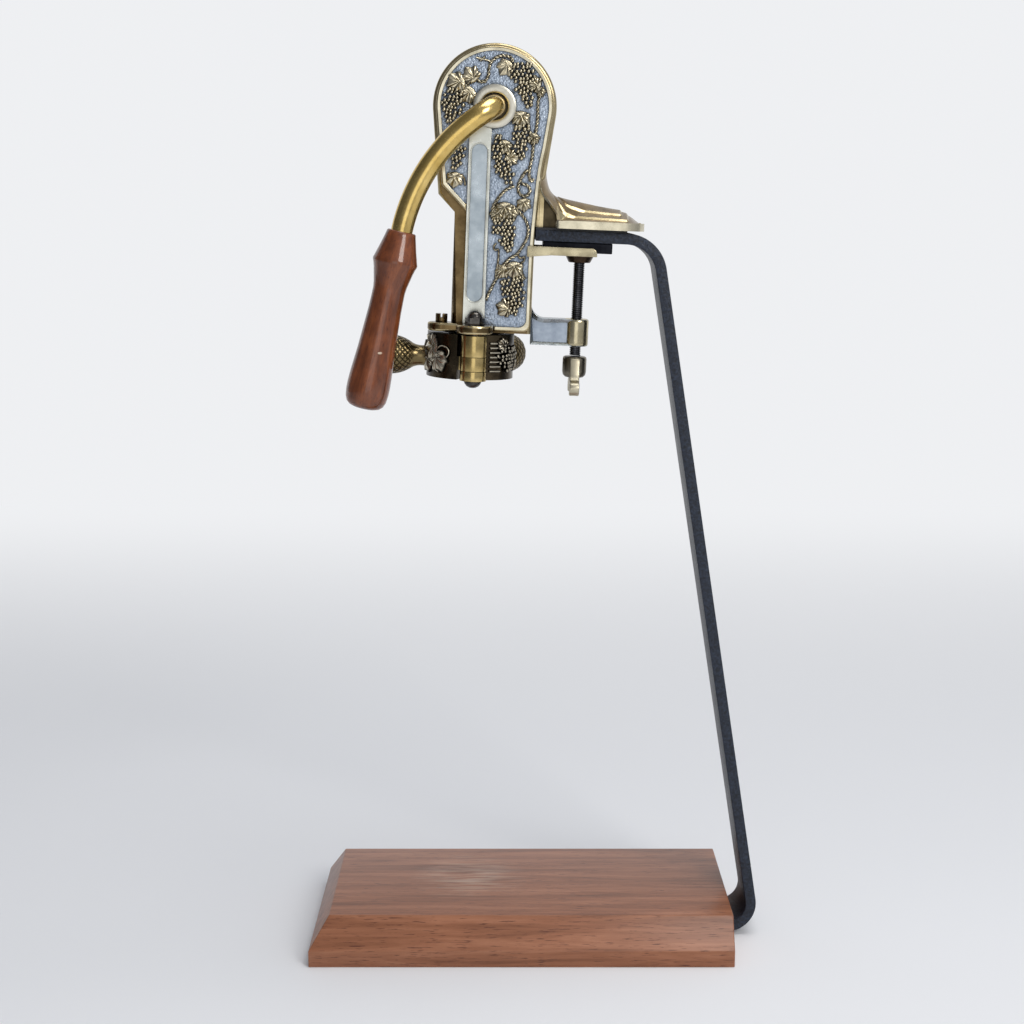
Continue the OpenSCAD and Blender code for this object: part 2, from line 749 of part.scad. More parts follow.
// Worm wire: rings of points along a right-handed helix, pointed at its lower end
worm_sides = 8;
rings_per_turn = 14;
helix_top = collar_bottom + 1;
worm_rings = ceil((helix_top - worm_tip) / worm_lead * rings_per_turn);
function worm_turn(z) = 360 / worm_lead * (z - drive_pin_z - worm_lead / 2);
function worm_wire_r(z) = wire_r * min(1, 0.25 + 1.5 * (z - worm_tip) / worm_lead);
function worm_ring(z) =
    let (turn = worm_turn(z), rise = worm_lead / (2 * PI * worm_r),
        out = [cos(turn), sin(turn), 0],
        up = [rise * sin(turn), -rise * cos(turn), 1] / norm([1, rise]))
    ring([worm_x, 0, z] + worm_r * out, worm_wire_r(z), out, up, worm_sides);

module worm() {
    color("silver") in_opener() {
        tube([for (i = [0:worm_rings]) worm_ring(worm_tip + (helix_top - worm_tip) * i / worm_rings)]);
        rod_z([worm_x, 0], collar_r, collar_bottom, block_bottom - face_gap);
        rod_z([worm_x, 0], shank_r, collar_bottom, shank_top);
    }
}

module worm_lock_nut() {
    low = window_bottom + face_gap + washer_t;
    color("silver") in_opener() difference() {
        translate([worm_x, 0, low]) cylinder(r = shank_r + 2.6, h = nut_h, $fn = 6);
        rod_z([worm_x, 0], shank_r, low - eps, low + nut_h + eps);
    }
}

module thrust_washer() {
    low = window_bottom + face_gap;
    color("goldenrod") in_opener() difference() {
        rod_z([worm_x, 0], shank_r + 2.6, low, low + washer_t);
        rod_z([worm_x, 0], shank_r, low - eps, low + washer_t + eps);
    }
}

module worm_guide() {
    color("goldenrod") in_opener() difference() {
        rod_z([worm_x, 0], guide_outer_r, floor_bottom, floor_top);
        rod_z([worm_x, 0], guide_bore_r, floor_bottom - eps, floor_top + eps);
        drive_pin_shape();
    }
}

module drive_pin_shape() {
    translate([worm_x + drive_pin_in, 0, drive_pin_z]) rotate([0, 90, 0])
        cylinder(r = drive_pin_r, h = guide_outer_r - drive_pin_in - 0.5);
}

module drive_pin() {
    color("silver") in_opener() drive_pin_shape();
}

module lip_seat() {
    color("black") in_opener() difference() {
        rod_z([worm_x, 0], seat_r, floor_bottom - seat_t, floor_bottom);
        rod_z([worm_x, 0], guide_bore_r + 1, floor_bottom - seat_t - eps, floor_bottom + eps);
    }
}

// Ball grip on a neck, pointing out of a jaw in one direction
grip_turning = [[0, 5.5], [2, 4.6], [5, 4], [9, 4.6], [13, 6.8], [17, 9.2], [21, 10.9], [25, 11.3], [28, 10.6],
    [31, 8], [33, 4], [33.5, 0]];

module grip(turn, root) {
    translate([worm_x, 0, grip_z]) rotate([0, 0, turn]) rotate([0, 90, 0]) translate([0, 0, root])
        rotate_extrude() polygon(concat([[0, 0]], [for (p = grip_turning) [p[1], p[0]]]));
}

// Jaw from one direction round to another, with knuckles at the given levels
module jaw(outer_r, from, to, knuckles, knuckle_from, knuckle_to, grip_turn) {
    blank_r = jaw_r - 1;
    grip_root = 1.5;
    difference() {
        union() {
            ring_part(blank_r, outer_r, jaw_bottom, jaw_top, from, to);
            for (level = knuckles) {
                rod_z([hinge_x, hinge_y], knuckle_r, level[0], level[1]);
                ring_part(blank_r, outer_r, level[0], level[1], knuckle_from, knuckle_to);
            }
            grip(grip_turn, outer_r - grip_root);
        }
        rod_z([hinge_x, hinge_y], hinge_r + run_fit, jaw_bottom - eps, jaw_top + eps);
        rod_z([worm_x, 0], jaw_r, jaw_bottom - eps, jaw_top + eps);
        translate([worm_x, 0, 0]) rotate([0, 0, split_turn])
            block([0, -jaw_gap / 2, jaw_bottom - eps], [2 * outer_r, jaw_gap / 2, jaw_top + eps]);
    }
}

module left_jaw() {
    level = [[low_joint + face_gap / 2, high_joint - face_gap / 2]];
    color("peru") in_opener()
        jaw(left_jaw_r, split_turn, hinge_turn - knuckle_turn, level, hinge_turn - knuckle_turn - knuckle_lap,
            hinge_turn, left_grip_turn);
}

module right_jaw() {
    levels = [[high_joint + face_gap / 2, jaw_top], [jaw_bottom, low_joint - face_gap / 2]];
    color("peru") in_opener()
        jaw(right_jaw_r, hinge_turn - 360 + knuckle_turn, split_turn, levels, hinge_turn - 360,
            hinge_turn - 360 + knuckle_turn + knuckle_lap, right_grip_turn);
}

// Rubber pad inside a jaw, clear of the gap at the back
liner_end_turn = asin((jaw_gap / 2 + 0.5) / liner_r);
module liner(from, to) {
    ring_part(liner_r, jaw_r, jaw_bottom + 2.5, jaw_top - 2.5, from, to);
}

module left_liner() {
    color("black") in_opener() liner(split_turn + liner_end_turn, hinge_turn - knuckle_turn - 4);
}

module right_liner() {
    color("black") in_opener() liner(hinge_turn - 360 + knuckle_turn + 4, split_turn - liner_end_turn);
}

module hinge_bolt() {
    head_top = jaw_bottom - face_gap;
    ball_r = (bolt_head_r * bolt_head_r + bolt_head_h * bolt_head_h) / (2 * bolt_head_h);
    color("darkslategray") in_opener() translate([hinge_x, hinge_y, 0]) {
        rod_z([0, 0], hinge_r, head_top, bolt_top);
        difference() {
            translate([0, 0, head_top - bolt_head_h + ball_r]) sphere(r = ball_r);
            block([-2 * ball_r, -2 * ball_r, head_top], [2 * ball_r, 2 * ball_r, head_top + 2 * ball_r]);
        }
    }
}

module acorn_nut() {
    color("darkslategray") in_opener() translate([hinge_x, hinge_y, floor_top]) difference() {
        union() {
            cylinder(d = nut_across / cos(30), h = acorn_skirt_h, $fn = 6);
            rod_z([0, 0], acorn_dome_r, acorn_skirt_h - eps, acorn_h - acorn_dome_r + 1.2);
            translate([0, 0, acorn_h - acorn_dome_r]) sphere(r = acorn_dome_r);
        }
        rod_z([0, 0], hinge_r, -acorn_dome_r - eps, acorn_skirt_h);
        block([-nut_across, -nut_across, -2 * acorn_dome_r], [nut_across, nut_across, 0]);
    }
}

module lug_screw() {
    slot_w = 1.1;
    slot_d = 2.2;
    head_top = floor_top + lug_screw_head_h;
    color("goldenrod") in_opener() translate([left_lug_x, left_lug_y, 0]) difference() {
        union() {
            rod_z([0, 0], lug_screw_r, floor_bottom, floor_top + eps);
            rod_z([0, 0], lug_screw_head_r, floor_top, head_top);
        }
        block([-slot_w / 2, -2 * lug_screw_head_r, head_top - slot_d],
            [slot_w / 2, 2 * lug_screw_head_r, head_top + eps]);
    }
}

module clamp_shoe() {
    heel = shoe_left + 14;
    half_w = shoe_w / 2;
    color("palegoldenrod") in_opener() difference() {
        union() {
            slab(-half_w, half_w) polygon([[shoe_left, shoe_floor], [shoe_right, shoe_floor], [shoe_right, shoe_bottom],
                [heel, shoe_bottom], [shoe_left, shoe_floor - shoe_heel_t]]);
            for (y = [-half_w, shoe_lip_in])
                block([shoe_left, y, shoe_floor - eps], [shoe_right, y + half_w - shoe_lip_in, shoe_floor + shoe_lip_h]);
        }
        block([shoe_left - eps, rim_y - column_gap, shoe_bottom - 2 * shoe_heel_t],
            [bar_end_x, case_back + column_gap, shoe_floor + 2 * shoe_lip_h]);
    }
}

module swivel_cup() {
    color("saddlebrown") in_opener() difference() {
        translate([screw_reach, 0, shoe_bottom - cup_h]) cylinder(r1 = cup_foot_r, r2 = cup_top_r, h = cup_h);
        rod_z([screw_reach, 0], screw_r + run_fit, shoe_bottom - cup_h - eps, shoe_bottom - cup_wall);
    }
}

module clamp_screw() {
    color("black") in_opener() rod_z([screw_reach, 0], screw_r, hub_top, shoe_bottom - cup_wall - run_fit);
}

module thumb_wing() {
    low = hub_top - wing_drop;
    color("darkkhaki") in_opener() translate([screw_reach, 0, 0]) {
        rod_z([0, 0], hub_r, hub_top - hub_h, hub_top);
        rotate([90, 0, 90]) linear_extrude(wing_t, center = true) {
            translate([-wing_half_l, low - wing_lobe_r]) square([2 * wing_half_l, 2 * wing_lobe_r]);
            for (side = [-1, 1]) translate([side * wing_half_l, low]) circle(r = wing_lobe_r);
        }
    }
}

base_board();
stand_arm();
arm_key();
foot_screws();
rear_housing();
front_cover();
cover_screws();
table_hook();
hook_liner();
clamp_arm();
pivot_ring();
rear_bush();
lever_shaft();
cam_disc();
cam_key();
shaft_clip();
lever_arm();
handle_tang();
wooden_handle();
carriage();
follower_pin();
guide_rod();
worm();
worm_lock_nut();
thrust_washer();
worm_guide();
drive_pin();
lip_seat();
left_jaw();
right_jaw();
left_liner();
right_liner();
hinge_bolt();
acorn_nut();
lug_screw();
clamp_shoe();
swivel_cup();
clamp_screw();
thumb_wing();
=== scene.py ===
"""Looks of the countertop corkscrew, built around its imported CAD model.

Metres, in the CAD frame: +X to the right, +Y to the back, +Z up.
"""

import json
from math import atan2, cos, degrees, exp, pi, radians, sin, sqrt, tau

import bmesh
import bpy
from bmesh.types import BMEdge, BMFace, BMVert
from mathutils import Matrix, Vector


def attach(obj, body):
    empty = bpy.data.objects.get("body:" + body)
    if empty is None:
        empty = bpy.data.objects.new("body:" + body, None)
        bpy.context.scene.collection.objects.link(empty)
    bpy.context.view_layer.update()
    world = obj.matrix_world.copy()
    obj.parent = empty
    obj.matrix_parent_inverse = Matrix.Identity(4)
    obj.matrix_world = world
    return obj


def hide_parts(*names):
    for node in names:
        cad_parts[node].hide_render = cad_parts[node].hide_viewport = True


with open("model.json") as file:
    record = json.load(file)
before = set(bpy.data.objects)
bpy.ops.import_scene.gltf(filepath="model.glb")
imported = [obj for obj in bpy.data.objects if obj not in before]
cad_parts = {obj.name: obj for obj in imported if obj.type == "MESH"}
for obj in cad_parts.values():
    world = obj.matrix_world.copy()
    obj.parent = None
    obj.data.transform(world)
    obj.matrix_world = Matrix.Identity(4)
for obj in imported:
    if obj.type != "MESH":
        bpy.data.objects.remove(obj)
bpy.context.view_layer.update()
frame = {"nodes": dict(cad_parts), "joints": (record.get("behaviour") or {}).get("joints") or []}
scene = bpy.context.scene
MM = 0.001

# Photographer's corner: the camera at the photograph's height and tilt, a pale table that
# curves up into a pale wall behind, and soft lamps in front, at the right and above.
tilt = 10.32
camera_data = bpy.data.cameras.new("camera")
camera_data.lens = 60.4
camera_data.sensor_width = 36
camera_data.sensor_fit = "HORIZONTAL"
camera = bpy.data.objects.new("camera", camera_data)
camera.location = (-0.0057, -1.019, 0.4483)
camera.rotation_euler = (radians(90 - tilt), 0, 0)
scene.collection.objects.link(camera)
scene.camera = camera
scene.view_settings.view_transform = "Standard"


def set_or_link(socket, value):
    """Gives an input a value or a colour, or links it to another socket."""
    if isinstance(value, bpy.types.NodeSocket):
        socket.id_data.links.new(value, socket)
    elif socket.type == "RGBA":
        socket.default_value = (*value, 1)
    else:
        socket.default_value = value


def feed(node, **values):
    """Sets a node's properties and its inputs by name."""
    for key, value in values.items():
        if hasattr(node, key):
            setattr(node, key, value)
        else:
            set_or_link(node.inputs[key.replace("_", " ")], value)
    return node


def add(tree, kind, **values):
    """A new node with its properties and inputs set."""
    return feed(tree.nodes.new(kind), **values)


def new_material(name, **values):
    """A node material, its tree, and its shader with values set on it."""
    material = bpy.data.materials.new(name)
    material.use_nodes = True
    tree = material.node_tree
    return material, tree, feed(tree.nodes["Principled BSDF"], **values)


def object_place(tree):
    """Coordinates that stay with the object."""
    return add(tree, "ShaderNodeTexCoord").outputs["Object"]


def noise(place, scale, detail, roughness=0.5, distortion=0):
    """The value of a noise texture at a place."""
    return add(place.id_data, "ShaderNodeTexNoise", Vector=place, Scale=scale, Detail=detail,
               Roughness=roughness, Distortion=distortion).outputs["Fac"]


def calculate(tree, operation, first, second, kind="ShaderNodeMath"):
    """The result of a Math or a Vector Math node."""
    node = add(tree, kind, operation=operation)
    set_or_link(node.inputs[0], first)
    set_or_link(node.inputs[1], second)
    return node.outputs[0]


def map_range(value, low, high, to_low=0, to_high=1, curve="LINEAR"):
    """A value whose span from low to high is mapped to another span."""
    return add(value.id_data, "ShaderNodeMapRange", Value=value, From_Min=low, From_Max=high, To_Min=to_low,
               To_Max=to_high, interpolation_type=curve).outputs["Result"]


def colour_ramp(factor, *stops):
    """The colour that a ramp of (position, colour) stops has at a factor."""
    node = add(factor.id_data, "ShaderNodeValToRGB", Fac=factor)
    elements = node.color_ramp.elements
    while len(elements) < len(stops):
        elements.new(1)
    for element, (position, colour) in zip(elements, stops):
        element.position = position
        element.color = (*colour, 1)
    return node.outputs["Color"]


def only(kind, geom):
    """What an operator gave back, of one kind only."""
    return [g for g in geom if isinstance(g, kind)]


def turn_out(bm):
    """Turns every face's normal to the outside."""
    bmesh.ops.recalc_face_normals(bm, faces=bm.faces)


def new_object(name, bm, finishes):
    """A smooth object in the scene, from a bmesh and its finishes."""
    mesh = bpy.data.meshes.new(name)
    bm.to_mesh(mesh)
    bm.free()
    for finish in finishes:
        mesh.materials.append(finish)
    mesh.shade_smooth()
    made = bpy.data.objects.new(name, mesh)
    scene.collection.objects.link(made)
    return made


paper, tree, shader = new_material("studio_paper", Roughness=0.85, Specular_IOR_Level=0.2)
place = object_place(tree)
mottle = noise(place, 1.4, 2)
feed(shader, Base_Color=colour_ramp(mottle, (0, (0.8, 0.81, 0.83)), (1, (0.85, 0.855, 0.87))))
# The far wall shows evenly pale to the eye and in reflections, and lights nothing
depth = add(tree, "ShaderNodeSeparateXYZ", Vector=place).outputs["Y"]
far = map_range(depth, 0.1, 1.5, curve="SMOOTHSTEP")
rays = add(tree, "ShaderNodeLightPath")
mirrored = calculate(tree, "MAXIMUM", rays.outputs["Is Glossy Ray"], rays.outputs["Is Transmission Ray"])
seen = calculate(tree, "MAXIMUM", rays.outputs["Is Camera Ray"], mirrored)
glow = add(tree, "ShaderNodeEmission", Color=(0.86, 0.87, 0.89))
mixed = add(tree, "ShaderNodeMixShader", Fac=calculate(tree, "MULTIPLY", far, seen))
tree.links.new(shader.outputs["BSDF"], mixed.inputs[1])
tree.links.new(glow.outputs["Emission"], mixed.inputs[2])
feed(tree.nodes["Material Output"], Surface=mixed.outputs["Shader"])

floor_half_w, floor_half_l, floor_y = 4.5, 2.2, -0.5
cove_r, wall_h = 0.9, 3
back_y = floor_y + floor_half_l
bm = bmesh.new()
bmesh.ops.create_grid(bm, x_segments=1, y_segments=1, size=1)
bmesh.ops.scale(bm, verts=bm.verts, vec=(floor_half_w, floor_half_l, 1))
bmesh.ops.translate(bm, verts=bm.verts, vec=(0, floor_y, 0))
far_edge = [e for e in bm.edges if all(v.co.y > back_y - 0.1 for v in e.verts)]
cove = bmesh.ops.spin(bm, geom=far_edge, cent=(0, back_y, cove_r), axis=(1, 0, 0), angle=radians(90),
                      steps=24)["geom_last"]
wall = bmesh.ops.extrude_edge_only(bm, edges=only(BMEdge, cove))["geom"]
bmesh.ops.translate(bm, verts=only(BMVert, wall), vec=(0, 0, wall_h))
turn_out(bm)
new_object("studio_sweep", bm, [paper])


def softbox(name, at, towards, size, watts, tint=(1, 1, 1)):
    """A square lamp that faces a point."""
    lamp_data = bpy.data.lights.new(name, "AREA")
    lamp_data.size = size
    lamp_data.energy = watts
    lamp_data.color = tint
    lamp = bpy.data.objects.new(name, lamp_data)
    lamp.location = at
    lamp.rotation_euler = (Vector(towards) - Vector(at)).to_track_quat("-Z", "Y").to_euler()
    scene.collection.objects.link(lamp)


softbox("front", (0, -1.35, 0.4), (0, 0, 0.4), 0.7, 1.5)
softbox("front_right", (0.9, -1.3, 1.2), (0, 0, 0.3), 0.7, 13, (1, 0.98, 0.95))
softbox("overhead", (0.35, -0.1, 1.9), (0, 0, 0.2), 1, 13)
world = bpy.data.worlds.new("room")
world.use_nodes = True
scene.world = world
sky = world.node_tree
# The room is dimmer on the left
heading = add(sky, "ShaderNodeTexCoord").outputs["Generated"]
rightwards = add(sky, "ShaderNodeSeparateXYZ", Vector=heading).outputs["X"]
feed(sky.nodes["Background"], Color=(0.9, 0.93, 1),
     Strength=map_range(rightwards, -0.8, 0.25, 0.14, 0.54))

# Base board: one solid plank of red-brown hardwood, sawn square at the right end and
# bevelled on its other sides, sanded, stained and thinly varnished. The bar's foot is let in below.


def solid_of(node):
    """A bmesh copy of a CAD node, merged, with flat faces joined."""
    bm = bmesh.new()
    bm.from_mesh(frame["nodes"][node].data)
    bmesh.ops.remove_doubles(bm, verts=bm.verts, dist=0.01 * MM)
    bmesh.ops.dissolve_limit(bm, angle_limit=radians(0.6), verts=bm.verts, edges=bm.edges)
    return bm


def soften(bm, width, least=32, keep=None, segments=3, clamp=True, index=-1):
    """Rounds the edges sharper than least degrees, or those of them that keep picks."""
    edges = [e for e in bm.edges if e.is_manifold and e.calc_face_angle() > radians(least)]
    if keep:
        edges = [e for e in edges if keep(e)]
    bmesh.ops.bevel(bm, geom=edges, offset=width * MM, offset_type="OFFSET", segments=segments, profile=0.5,
                    affect="EDGES", clamp_overlap=clamp, material=index)
    return bm


def make_piece(name, bm, finishes, body, slot, *nodes, sharp=34, flat_front=False):
    """A piece with its finishes, on its body, in place of its CAD nodes."""
    piece = new_object(name, bm, finishes)
    piece.data.set_sharp_from_angle(angle=radians(sharp))
    if flat_front:
        for polygon in piece.data.polygons:
            polygon.use_smooth = abs(polygon.normal.y) < 0.9999
    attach(piece, body)
    if nodes:
        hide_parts(*nodes)


def new_group(name, inputs, outputs):
    """A shader node group with value sockets, and its input and output nodes."""
    group = bpy.data.node_groups.new(name, "ShaderNodeTree")
    for socket, start in inputs.items():
        made = group.interface.new_socket(socket, in_out="INPUT", socket_type="NodeSocketFloat")
        made.default_value = start
    for socket in outputs:
        group.interface.new_socket(socket, in_out="OUTPUT", socket_type="NodeSocketFloat")
    return group, group.nodes.new("NodeGroupInput"), group.nodes.new("NodeGroupOutput")


def use_group(tree, group, **values):
    """The outputs of a group placed in a tree."""
    return add(tree, "ShaderNodeGroup", node_tree=group, **values).outputs


grain, grain_in, grain_out = new_group("wood_grain", {"Length": 12, "Pores": 1}, ("Figure", "Pore", "Shade"))
grain.interface.new_socket("Vector", in_out="INPUT", socket_type="NodeSocketVector")
shrink = calculate(grain, "DIVIDE", 1, grain_in.outputs["Length"])
stretch = add(grain, "ShaderNodeCombineXYZ", X=shrink, Y=1, Z=1).outputs[0]
along = calculate(grain, "MULTIPLY", grain_in.outputs["Vector"], stretch, "ShaderNodeVectorMath")
pore_line = map_range(noise(along, 1700, 2, 0.6), 0.6, 0.68)
feed(grain_out, Figure=noise(along, 150, 7, 0.66, 0.6),
     Pore=calculate(grain, "MULTIPLY", pore_line, grain_in.outputs["Pores"]),
     Shade=noise(grain_in.outputs["Vector"], 16, 2))


def mix_colour(tree, factor, first, second, blend="MIX"):
    """Mixes two colours by a factor; each may be a socket."""
    node = add(tree, "ShaderNodeMix", data_type="RGBA", blend_type=blend)
    for index, value in ((0, factor), (6, first), (7, second)):
        set_or_link(node.inputs[index], value)
    return node.outputs[2]


def timber(tree, wood, tones, pore_tone, shade, shades):
    """The colour of wood: its figure, its dark pores and a slow drift of shade."""
    pored = mix_colour(tree, wood["Pore"], colour_ramp(wood["Figure"], *tones), pore_tone)
    return mix_colour(tree, 1, pored, mix_colour(tree, shade, *shades), "MULTIPLY")


def spot(place, centre, scale):
    """A value that falls from 1 at a centre to 0 at 1 / scale metres from it."""
    shift = tuple(-s * c for s, c in zip(scale, centre))
    tree = place.id_data
    mapped = add(tree, "ShaderNodeMapping", Vector=place, Location=shift, Scale=scale).outputs["Vector"]
    return add(tree, "ShaderNodeTexGradient", Vector=mapped, gradient_type="SPHERICAL").outputs["Fac"]


def bump(shader, height, strength, depth):
    """Bumps a shader's normal by a height socket, depth in millimetres."""
    node = add(shader.id_data, "ShaderNodeBump", Height=height, Strength=strength, Distance=depth * MM)
    feed(shader, Normal=node.outputs["Normal"])


base_finish, tree, shader = new_material("base_hardwood", Roughness=0.36, Specular_IOR_Level=0.3,
                                         Coat_Weight=0.1, Coat_Roughness=0.2)
place = object_place(tree)
wood = use_group(tree, grain, Vector=place, Length=16, Pores=0.9)
tones = ((0.28, (0.15, 0.056, 0.027)), (0.5, (0.275, 0.11, 0.055)), (0.72, (0.4, 0.178, 0.098)))
toned = timber(tree, wood, tones, (0.1, 0.035, 0.021), wood["Shade"], ((0.86, 0.84, 0.84), (1.12, 1.1, 1.1)))
# A pale patch of painted sheen near the middle of the top, streaked along the grain
drawn_out = add(tree, "ShaderNodeMapping", Vector=place, Scale=(0.1, 1, 1)).outputs["Vector"]
sheen_streaks = map_range(noise(drawn_out, 420, 3), 0.42, 0.66, 0, 0.42)
sheen_spot = map_range(spot(place, (-0.033, 0.006, 0.028), (26, 26, 26)), 0, 0.75)
sheen_patch = calculate(tree, "MULTIPLY", sheen_spot, sheen_streaks)
feed(shader, Base_Color=mix_colour(tree, sheen_patch, toned, (0.64, 0.49, 0.38)))
bump(shader, wood["Pore"], 0.3, -0.1)
bm = soften(solid_of("base_board"), 0.7)
make_piece("base_plank", bm, [base_finish], "stand", "base_wood", "base_board")

# Stand bar: flat steel bar bent cold into a C and powder-coated in black wrinkle.
# Its foot is let into the board's underside and screwed there; a black key is welded under its top leg.
coat_finish, tree, shader = new_material("wrinkle_coat", Specular_IOR_Level=0.38)
place = object_place(tree)
wrinkle = noise(place, 720, 3, 0.6, 0.4)
patches = noise(place, 60, 3)
feed(shader, Roughness=map_range(patches, 0, 1, 0.34, 0.5),
     Base_Color=colour_ramp(wrinkle, (0.35, (0.004, 0.006, 0.011)), (0.7, (0.022, 0.032, 0.056))))
bump(shader, wrinkle, 0.8, 0.5)
bm = soften(solid_of("stand_arm"), 1.3, least=50)
make_piece("bent_bar", bm, [coat_finish], "stand", "stand_coat", "stand_arm")


def dress(finish, *nodes):
    """Gives CAD nodes that stay as they are a finish of this scene."""
    for node in nodes:
        mesh = frame["nodes"][node].data
        mesh.materials.clear()
        mesh.materials.append(finish)


smudge, smudge_in, smudge_out = new_group("metal_smudge", {"Scale": 120, "Fine": 900}, ("Cloud", "Scratch"))
place = object_place(smudge)
feed(smudge_out, Cloud=noise(place, smudge_in.outputs["Scale"], 4, 0.6),
     Scratch=noise(place, smudge_in.outputs["Fine"], 2, 0.7))


def metal(name, dark, bright, rough, depth=0.02, scale=120):
    """A metal whose colour and gloss drift between two states, with fine marks."""
    material, tree, shader = new_material(name, Metallic=1)
    marks = use_group(tree, smudge, Scale=scale, Fine=900)
    feed(shader, Base_Color=colour_ramp(marks["Cloud"], (0.3, dark), (0.68, bright)),
         Roughness=map_range(marks["Scratch"], 0.3, 0.7, *rough))
    bump(shader, marks["Scratch"], 0.4, depth)
    return material


steel = metal("turned_steel", (0.4, 0.41, 0.42), (0.58, 0.59, 0.6), (0.22, 0.36))
dress(steel, "foot_screws")
key_finish = metal("key_black_oxide", (0.005, 0.005, 0.007), (0.016, 0.017, 0.021), (0.35, 0.5))
make_piece("welded_key", soften(solid_of("arm_key"), 0.6), [key_finish], "stand", "stand_coat", "arm_key")

# Rear housing: one casting in brass-plated zinc, antiqued to olive brown, with a rounded outer
# edge, a flange across its foot and two lugs on the flange for the hinge bolt and the jaw screw.
joints = {joint["name"]: joint for joint in frame["joints"]}
slide = joints["carriage_slide"]["axis"]
lean = atan2(-slide[0], -slide[2])
# The opener's own frame: the lever's shaft at its origin, leaning with the bar's top leg
opener = Matrix.Translation(joints["lever_hinge"]["pos_m"]) @ Matrix.Rotation(lean, 4, "Y")
to_opener = opener.inverted()
# Sizes in that frame, in millimetres; the worm's line is the bottle neck's too
worm_x = -7.5
case_front, case_back = -14, 16
head_foot, waist = -30, -38
column_left, column_middle = -20.8, 2.6
flange_top, flange_front, flange_left = -122.5, -18.7, -21.2
lug_top, lug_foot = -123.5, -128.5
hinge, hinge_bore = Vector((worm_x + 1, -27)), 5
jaw_screw, jaw_screw_bore = Vector((-29.2, -12)), 3.2
screw_holes, hole_reach = (Vector((-23.3, -43)), Vector((24, -34)), Vector((20.5, -121))), 5


def shade_and_patina_mask(tree, reach, low, high):
    """A mask that is 1 on open faces and 0 in hollows, for a reach in millimetres, used to paint shade and
    patina into hollows.
    """
    node = add(tree, "ShaderNodeAmbientOcclusion", samples=4, Distance=reach * MM)
    return map_range(node.outputs["AO"], low, high)


def antique(name, dark, bright, rough, depth=0.03):
    """An antiqued casting: dark in its clouds, near-black in its hollows with patina and painted shade,
    bright where hands and polishing reach.
    """
    material, tree, shader = new_material(name, Metallic=1)
    marks = use_group(tree, smudge, Scale=90, Fine=1400)
    cast = colour_ramp(marks["Cloud"], (0.3, dark), (0.7, bright))
    patina_and_shade = tuple(0.22 * c for c in dark)
    # Hollows turn near-black, as patina and painted shade
    feed(shader, Base_Color=mix_colour(tree, shade_and_patina_mask(tree, 2.5, 0.25, 0.8), patina_and_shade, cast),
         Roughness=map_range(marks["Cloud"], 0.3, 0.7, rough[1], rough[0]))
    bump(shader, marks["Scratch"], 0.5, depth)
    return material


case_finish = antique("case_antique_brass", (0.085, 0.055, 0.024), (0.175, 0.122, 0.056), (0.18, 0.34))
edge_finish = antique("edge_rubbed_brass", (0.3, 0.235, 0.12), (0.6, 0.5, 0.3), (0.16, 0.3))


def in_opener(edge):
    """The ends of an edge in the opener's frame, in millimetres."""
    return [to_opener @ v.co / MM for v in edge.verts]


def column_corner(edge):
    """Picks the column's left front corner."""
    return all(abs(p.x - column_left) < 0.05 and abs(p.y - case_front) < 0.05 for p in in_opener(edge))


def outer_edge(edge):
    """Picks edges of the housing's outer walls that lie in its front or back face."""
    ends = in_opener(edge)
    flat = any(all(abs(p.y - y) < 0.01 for p in ends) for y in (case_front, case_back))
    middle = ((ends[0] + ends[1]) / 2).xz
    if middle.y > waist:
        centre = Vector((0, max(head_foot, min(0, middle.y))))
    else:
        centre = Vector((column_middle, middle.y))
    walls = [to_opener.to_3x3() @ f.normal for f in edge.link_faces if abs(f.normal.y) < 0.5]
    clear = all((middle - hole).length > hole_reach for hole in screw_holes)
    return flat and clear and middle.y > flange_top and bool(walls) and walls[0].xz.dot(middle - centre) > 0


def lug_rim(edge):
    """Picks the outer edges of the flange's two lugs, and leaves out their bores."""
    ends = in_opener(edge)
    flat = any(all(abs(p.z - z) < 0.02 for p in ends) for z in (lug_top, lug_foot))
    middle = ((ends[0] + ends[1]) / 2).xy
    solid = (middle - hinge).length > hinge_bore and (middle - jaw_screw).length > jaw_screw_bore
    return flat and solid and (middle.y < flange_front or middle.x < flange_left)


bm = solid_of("rear_housing")
soften(bm, 1.2, keep=lug_rim, segments=4, clamp=False, index=1)
soften(bm, 3.2, keep=column_corner, segments=6, clamp=False)
soften(bm, 2, keep=outer_edge, segments=5, clamp=False, index=1)
make_piece("housing_casting", bm, [case_finish, edge_finish], "stand", "case_bronze", "rear_housing",
           flat_front=True)

# Works inside the housing: turned and milled steel with bronze bearings, hidden when it is shut.
# The cam, the carriage, the guide rod and the worm keep their CAD shapes.
bush_finish = metal("bearing_bronze", (0.36, 0.22, 0.09), (0.52, 0.34, 0.15), (0.25, 0.4))
dress(bush_finish, "rear_bush", "worm_guide")
dress(steel, "cover_screws", "lever_shaft", "cam_disc", "cam_key", "shaft_clip", "handle_tang", "carriage",
      "follower_pin", "guide_rod", "worm", "worm_lock_nut", "thrust_washer", "drive_pin")
rubber, tree, shader = new_material("black_rubber", Roughness=0.7)
marks = use_group(tree, smudge, Scale=200, Fine=2500)
tones = ((0.3, (0.01, 0.01, 0.011)), (0.7, (0.024, 0.024, 0.026)))
feed(shader, Base_Color=colour_ramp(marks["Cloud"], *tones))
bump(shader, marks["Scratch"], 0.4, 0.05)
dress(rubber, "lip_seat", "left_liner", "right_liner", "hook_liner")

